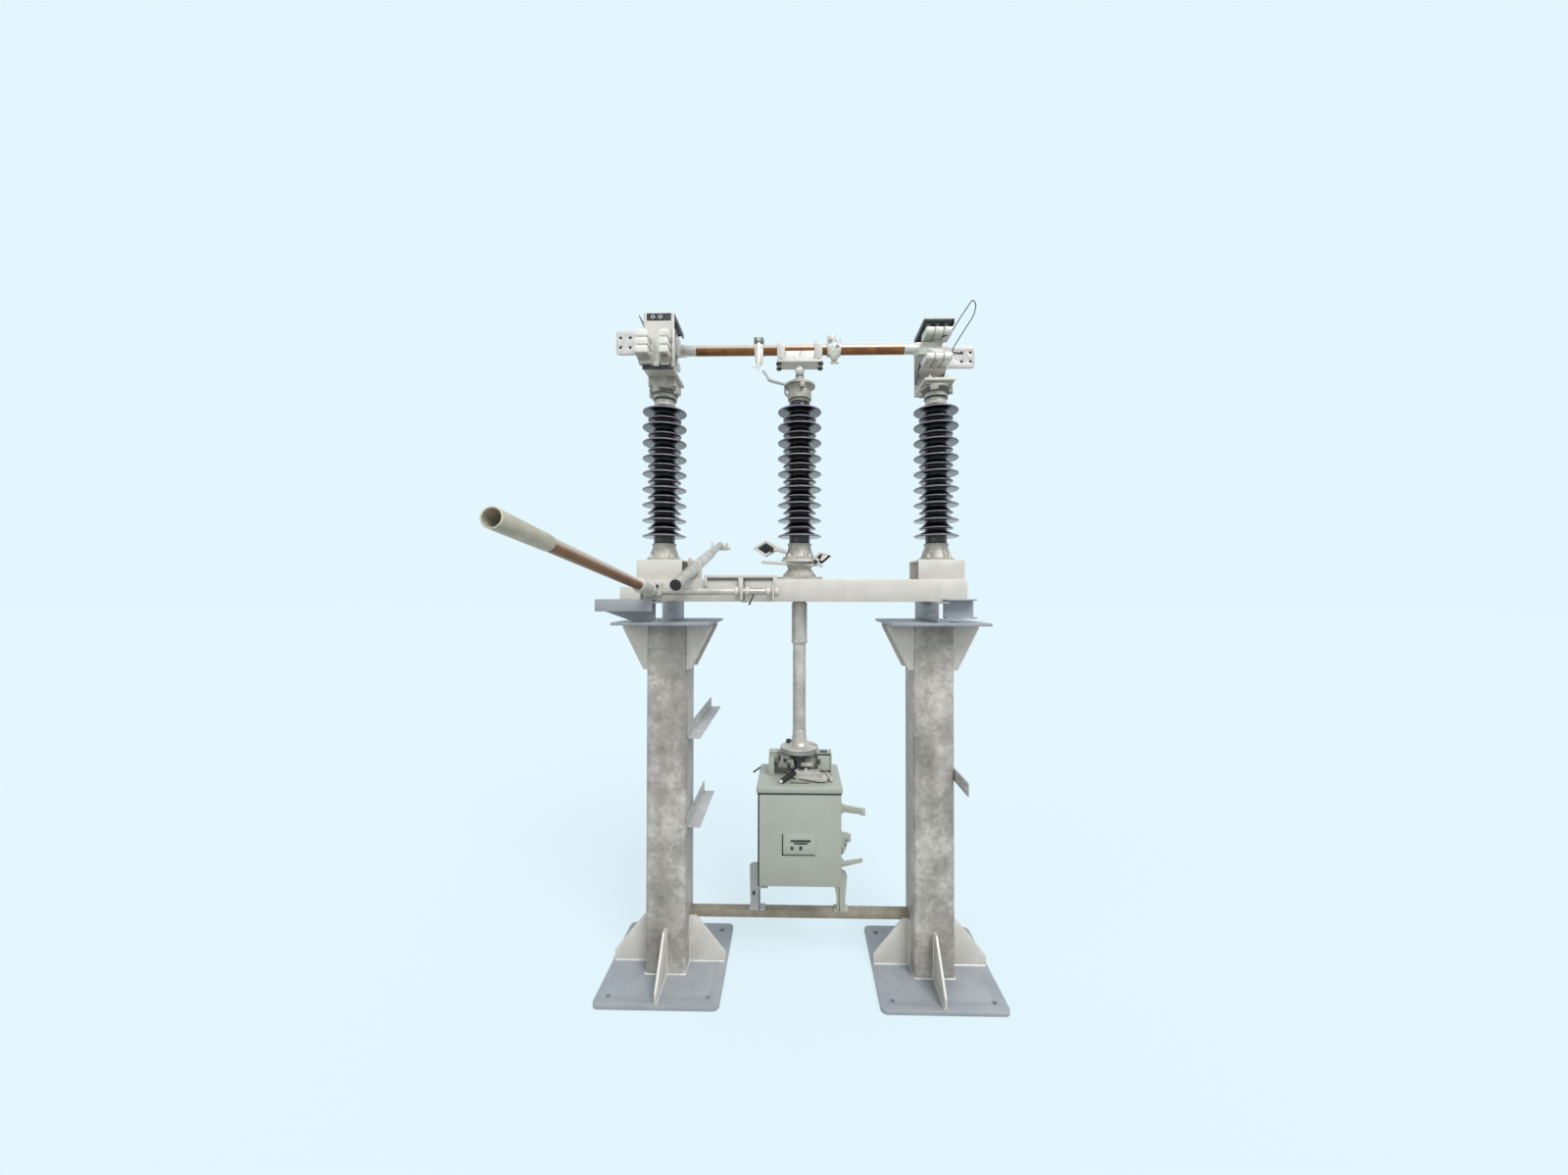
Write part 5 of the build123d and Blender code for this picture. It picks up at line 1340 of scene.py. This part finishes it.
def coupling():
    # flanged coupling with a flared hub under the drive pipe, and the long sleeve at the pipe's top
    look, low, high = couplingLook, couplingLow, couplingHigh
    wide = (couplingX1 - couplingX0) / 2 - look["inset"]
    pipe = (span("drive_pipe")[1][0] - span("drive_pipe")[0][0]) / 2
    hub = lathed(arc([(0, low - 9), (wide - 9, low - 9, 2), (wide - 6, low + 4, 2), (wide, low + 5, 1),
                      (wide, low + 13, 2), (wide - 5, low + 14.5, 2), (pipe + 17, low + 19, 10),
                      (pipe + 7, low + 32, 12), (pipe + 2.0, low + 58, 20), (pipe + 0.6, low + 88, 4),
                      (0, low + 89)], 5), 72)
    x, y, z, size = look["pocket"]
    pocket = placed(disc(size, 0, size, 32), at(postX + x, y, low + z))
    piece("outputCoupling", carved(placed(hub, at(postX, 0, 0)), pocket), "tubeZinc",
          replaces=["pipe_couplings"], smoothTo=34)
    sleeve, drop = look["sleeve"]
    outer, inner, start, stop = look["rib"]
    start, stop = high - drop + start, high - drop + stop
    piece("pipeSleeve", [placed(gathered(tubed(sleeve, pipe - 1, high - drop, high, 2.5),
                                         tubed(outer, inner, start, stop, 1)), at(postX, 0, 0))],
          "tubeZinc", on="centre_post")
    # painted shade: a dark line round the flange's edge
    edge = placed(tubed(wide + 0.6, wide - 2, low + 7, low + 11, 0.8, 72), at(postX, 0, 0))
    piece("couplingShadeLine", edge, "shadeSteel", on="centre_post")
    bolts("couplingBolt", [(postX - 47, 34, low + 13)], up, look["bolt"], "darkSteel", "centre_post")


topLook = {
    # boxes from the post's line at the lid's top: low x y z, high x y z
    "boss": ((-98, 14, 26, 76, 34, 66), (6, -22, 44, 60, 12, 62)),
    "shade": ((-92, -14, 66, -84, 2, 82), (-48, -26, 40, -40, -8, 60), (-20, -30, 74, -6, -12, 86)),
    "knob": (76, -12, 52, 92, -2, 72), "leverBase": (-16, -56, -1, 110, -20, 8),
    # lever plates seen from above: (x from the post's line, y, radius)
    "deck": [(-62, 26, 4), (30, 30, 6), (142, 22, 8), (132, -50, 8), (112, -94, 6), (80, -96, 6), (20, -70, 6),
             (-24, -50, 6)],
    "lift": [(-20, -2, 3), (84, -8, 5), (92, -52, 5), (-14, -46, 3)],
    "leverBolts": ((28, -32, 30), (104, -64, 13)), "leverBolt": (12, 6, 9, 4, 3),
    "grip": ((-74, -104, 12), (-22, -38, 26)), "gripRadius": 11, "yokeDrop": 12,
}


def gearOnTop():
    # the yoke over the output shaft with what shows between its plates
    look = topLook
    (x0, _, _), (x1, _, top) = span("output_bracket")
    top -= look["yokeDrop"]
    piece("outputYoke", [
        brick((x0, -4, boxTop), (x0 + 6, 66, top - 14)), brick((x0, -10, boxTop), (x0 + 24, -4, top - 14)),
        brick((x0, 20, top - 6), (x0 + 70, 66, top)), brick((x1 - 6, -10, boxTop), (x1, 66, top)),
        brick((x1 - 62, -4, boxTop + 22), (x1, 2, top - 10)), brick((x1 - 66, 14, top - 8), (x1, 66, top - 2))],
        "boxEnamel", 1.2, replaces=["output_bracket"])
    origin = (postX, 0, boxTop)
    long, short = bricks(origin, *look["boss"])
    piece("gearBracket", [
        placed(brick((-21, -16, -26), (21, 16, 26)), at(postX - 66, 4, boxTop + 62, 0, 14, 8)), long,
        placed(brick((-13, -14, -18), (13, 14, 18)), at(postX - 34, -8, boxTop + 56, 0, -9, -12)), short],
        "castCap", 2.5)
    piece("gearScreen", [brick((x0 + 5, 40, boxTop - 1), (x1 - 5, 46, top - 6)),
                         brick((x0 + 5, 20, boxTop + 52), (x0 + 52, 44, top - 8))], "boxEnamel", 1.2)
    left, middle, low = bricks(origin, *look["shade"])
    piece("gearShade", [
        left, middle, brick((x1 - 50, 16, top - 7), (x1 - 18, 50, top - 1)),
        placed(disc(7, 0, 10, 18, 2, 2, 2), at(postX - 63, -12, boxTop + 70, 90)),
        placed(disc(30, 0, 26, 40, 2, 4, 3), at(postX, 0, boxTop + 84)), low], "darkSteel", 1.0)
    softCopy("output_shaft", "darkSteel", 0.8)
    piece("catchKnob", bricks(origin, look["knob"]), "darkSteel", 1.0)


def interlockLever():
    look, origin = topLook, (postX, 0, boxTop)
    deck, lift = [plate(arc([(postX + x, y, r) for x, y, r in shape + shape[:1]], 4), thick)
                  for shape, thick in ((look["deck"], 7), (look["lift"], 18))]
    rail = placed(brick((-7, -56, 0), (7, 58, 12)), at(postX + 124, -30, boxTop + 5, 0, 0, 12))
    piece("interlockLever", [placed(deck, at(0, 0, boxTop + 6)), placed(lift, at(0, 0, boxTop + 12)),
                             *bricks(origin, look["leverBase"]), rail], "leverEnamel", 1.6,
          replaces=["interlock_lever"])
    bolts("leverBolt", [(postX + x, y, boxTop + z) for x, y, z in look["leverBolts"]], up, look["leverBolt"],
          "galvanisedSteel")
    low, high = [Vector(origin) + Vector(end) for end in look["grip"]]
    piece("leverGrip", rod(low, high, look["gripRadius"], 28, 4), "blackGrip", replaces=["lever_grip"])
    way = (high - low).normalized()
    piece("gripRod", [rod(low - way * 12, low + way * 2, 6.5, 20, 3), rod(high - way * 2, high + way * 26, 5)],
          "galvanisedSteel")
    # painted shade: a dark strip in the lid's slot
    piece("lidSlot", bricks((0, 0, boxTop), boxLook["slot"]), "darkSteel", 0.4)
    pin = rod((lidLow[0] - 26, 40, boxTop - 2), (lidLow[0] + 1, 80, boxTop + 5), 4)
    piece("lidPin", pin, "darkSteel")


operatingBox()
nameplate()
boxLegs()
sideLevers()
coupling()
gearOnTop()
interlockLever()
print("stage: operating box")


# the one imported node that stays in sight
bearing = frame["nodes"]["centre_bearing"].data
bearing.materials.clear()
bearing.materials.append(finishes["castCap"])
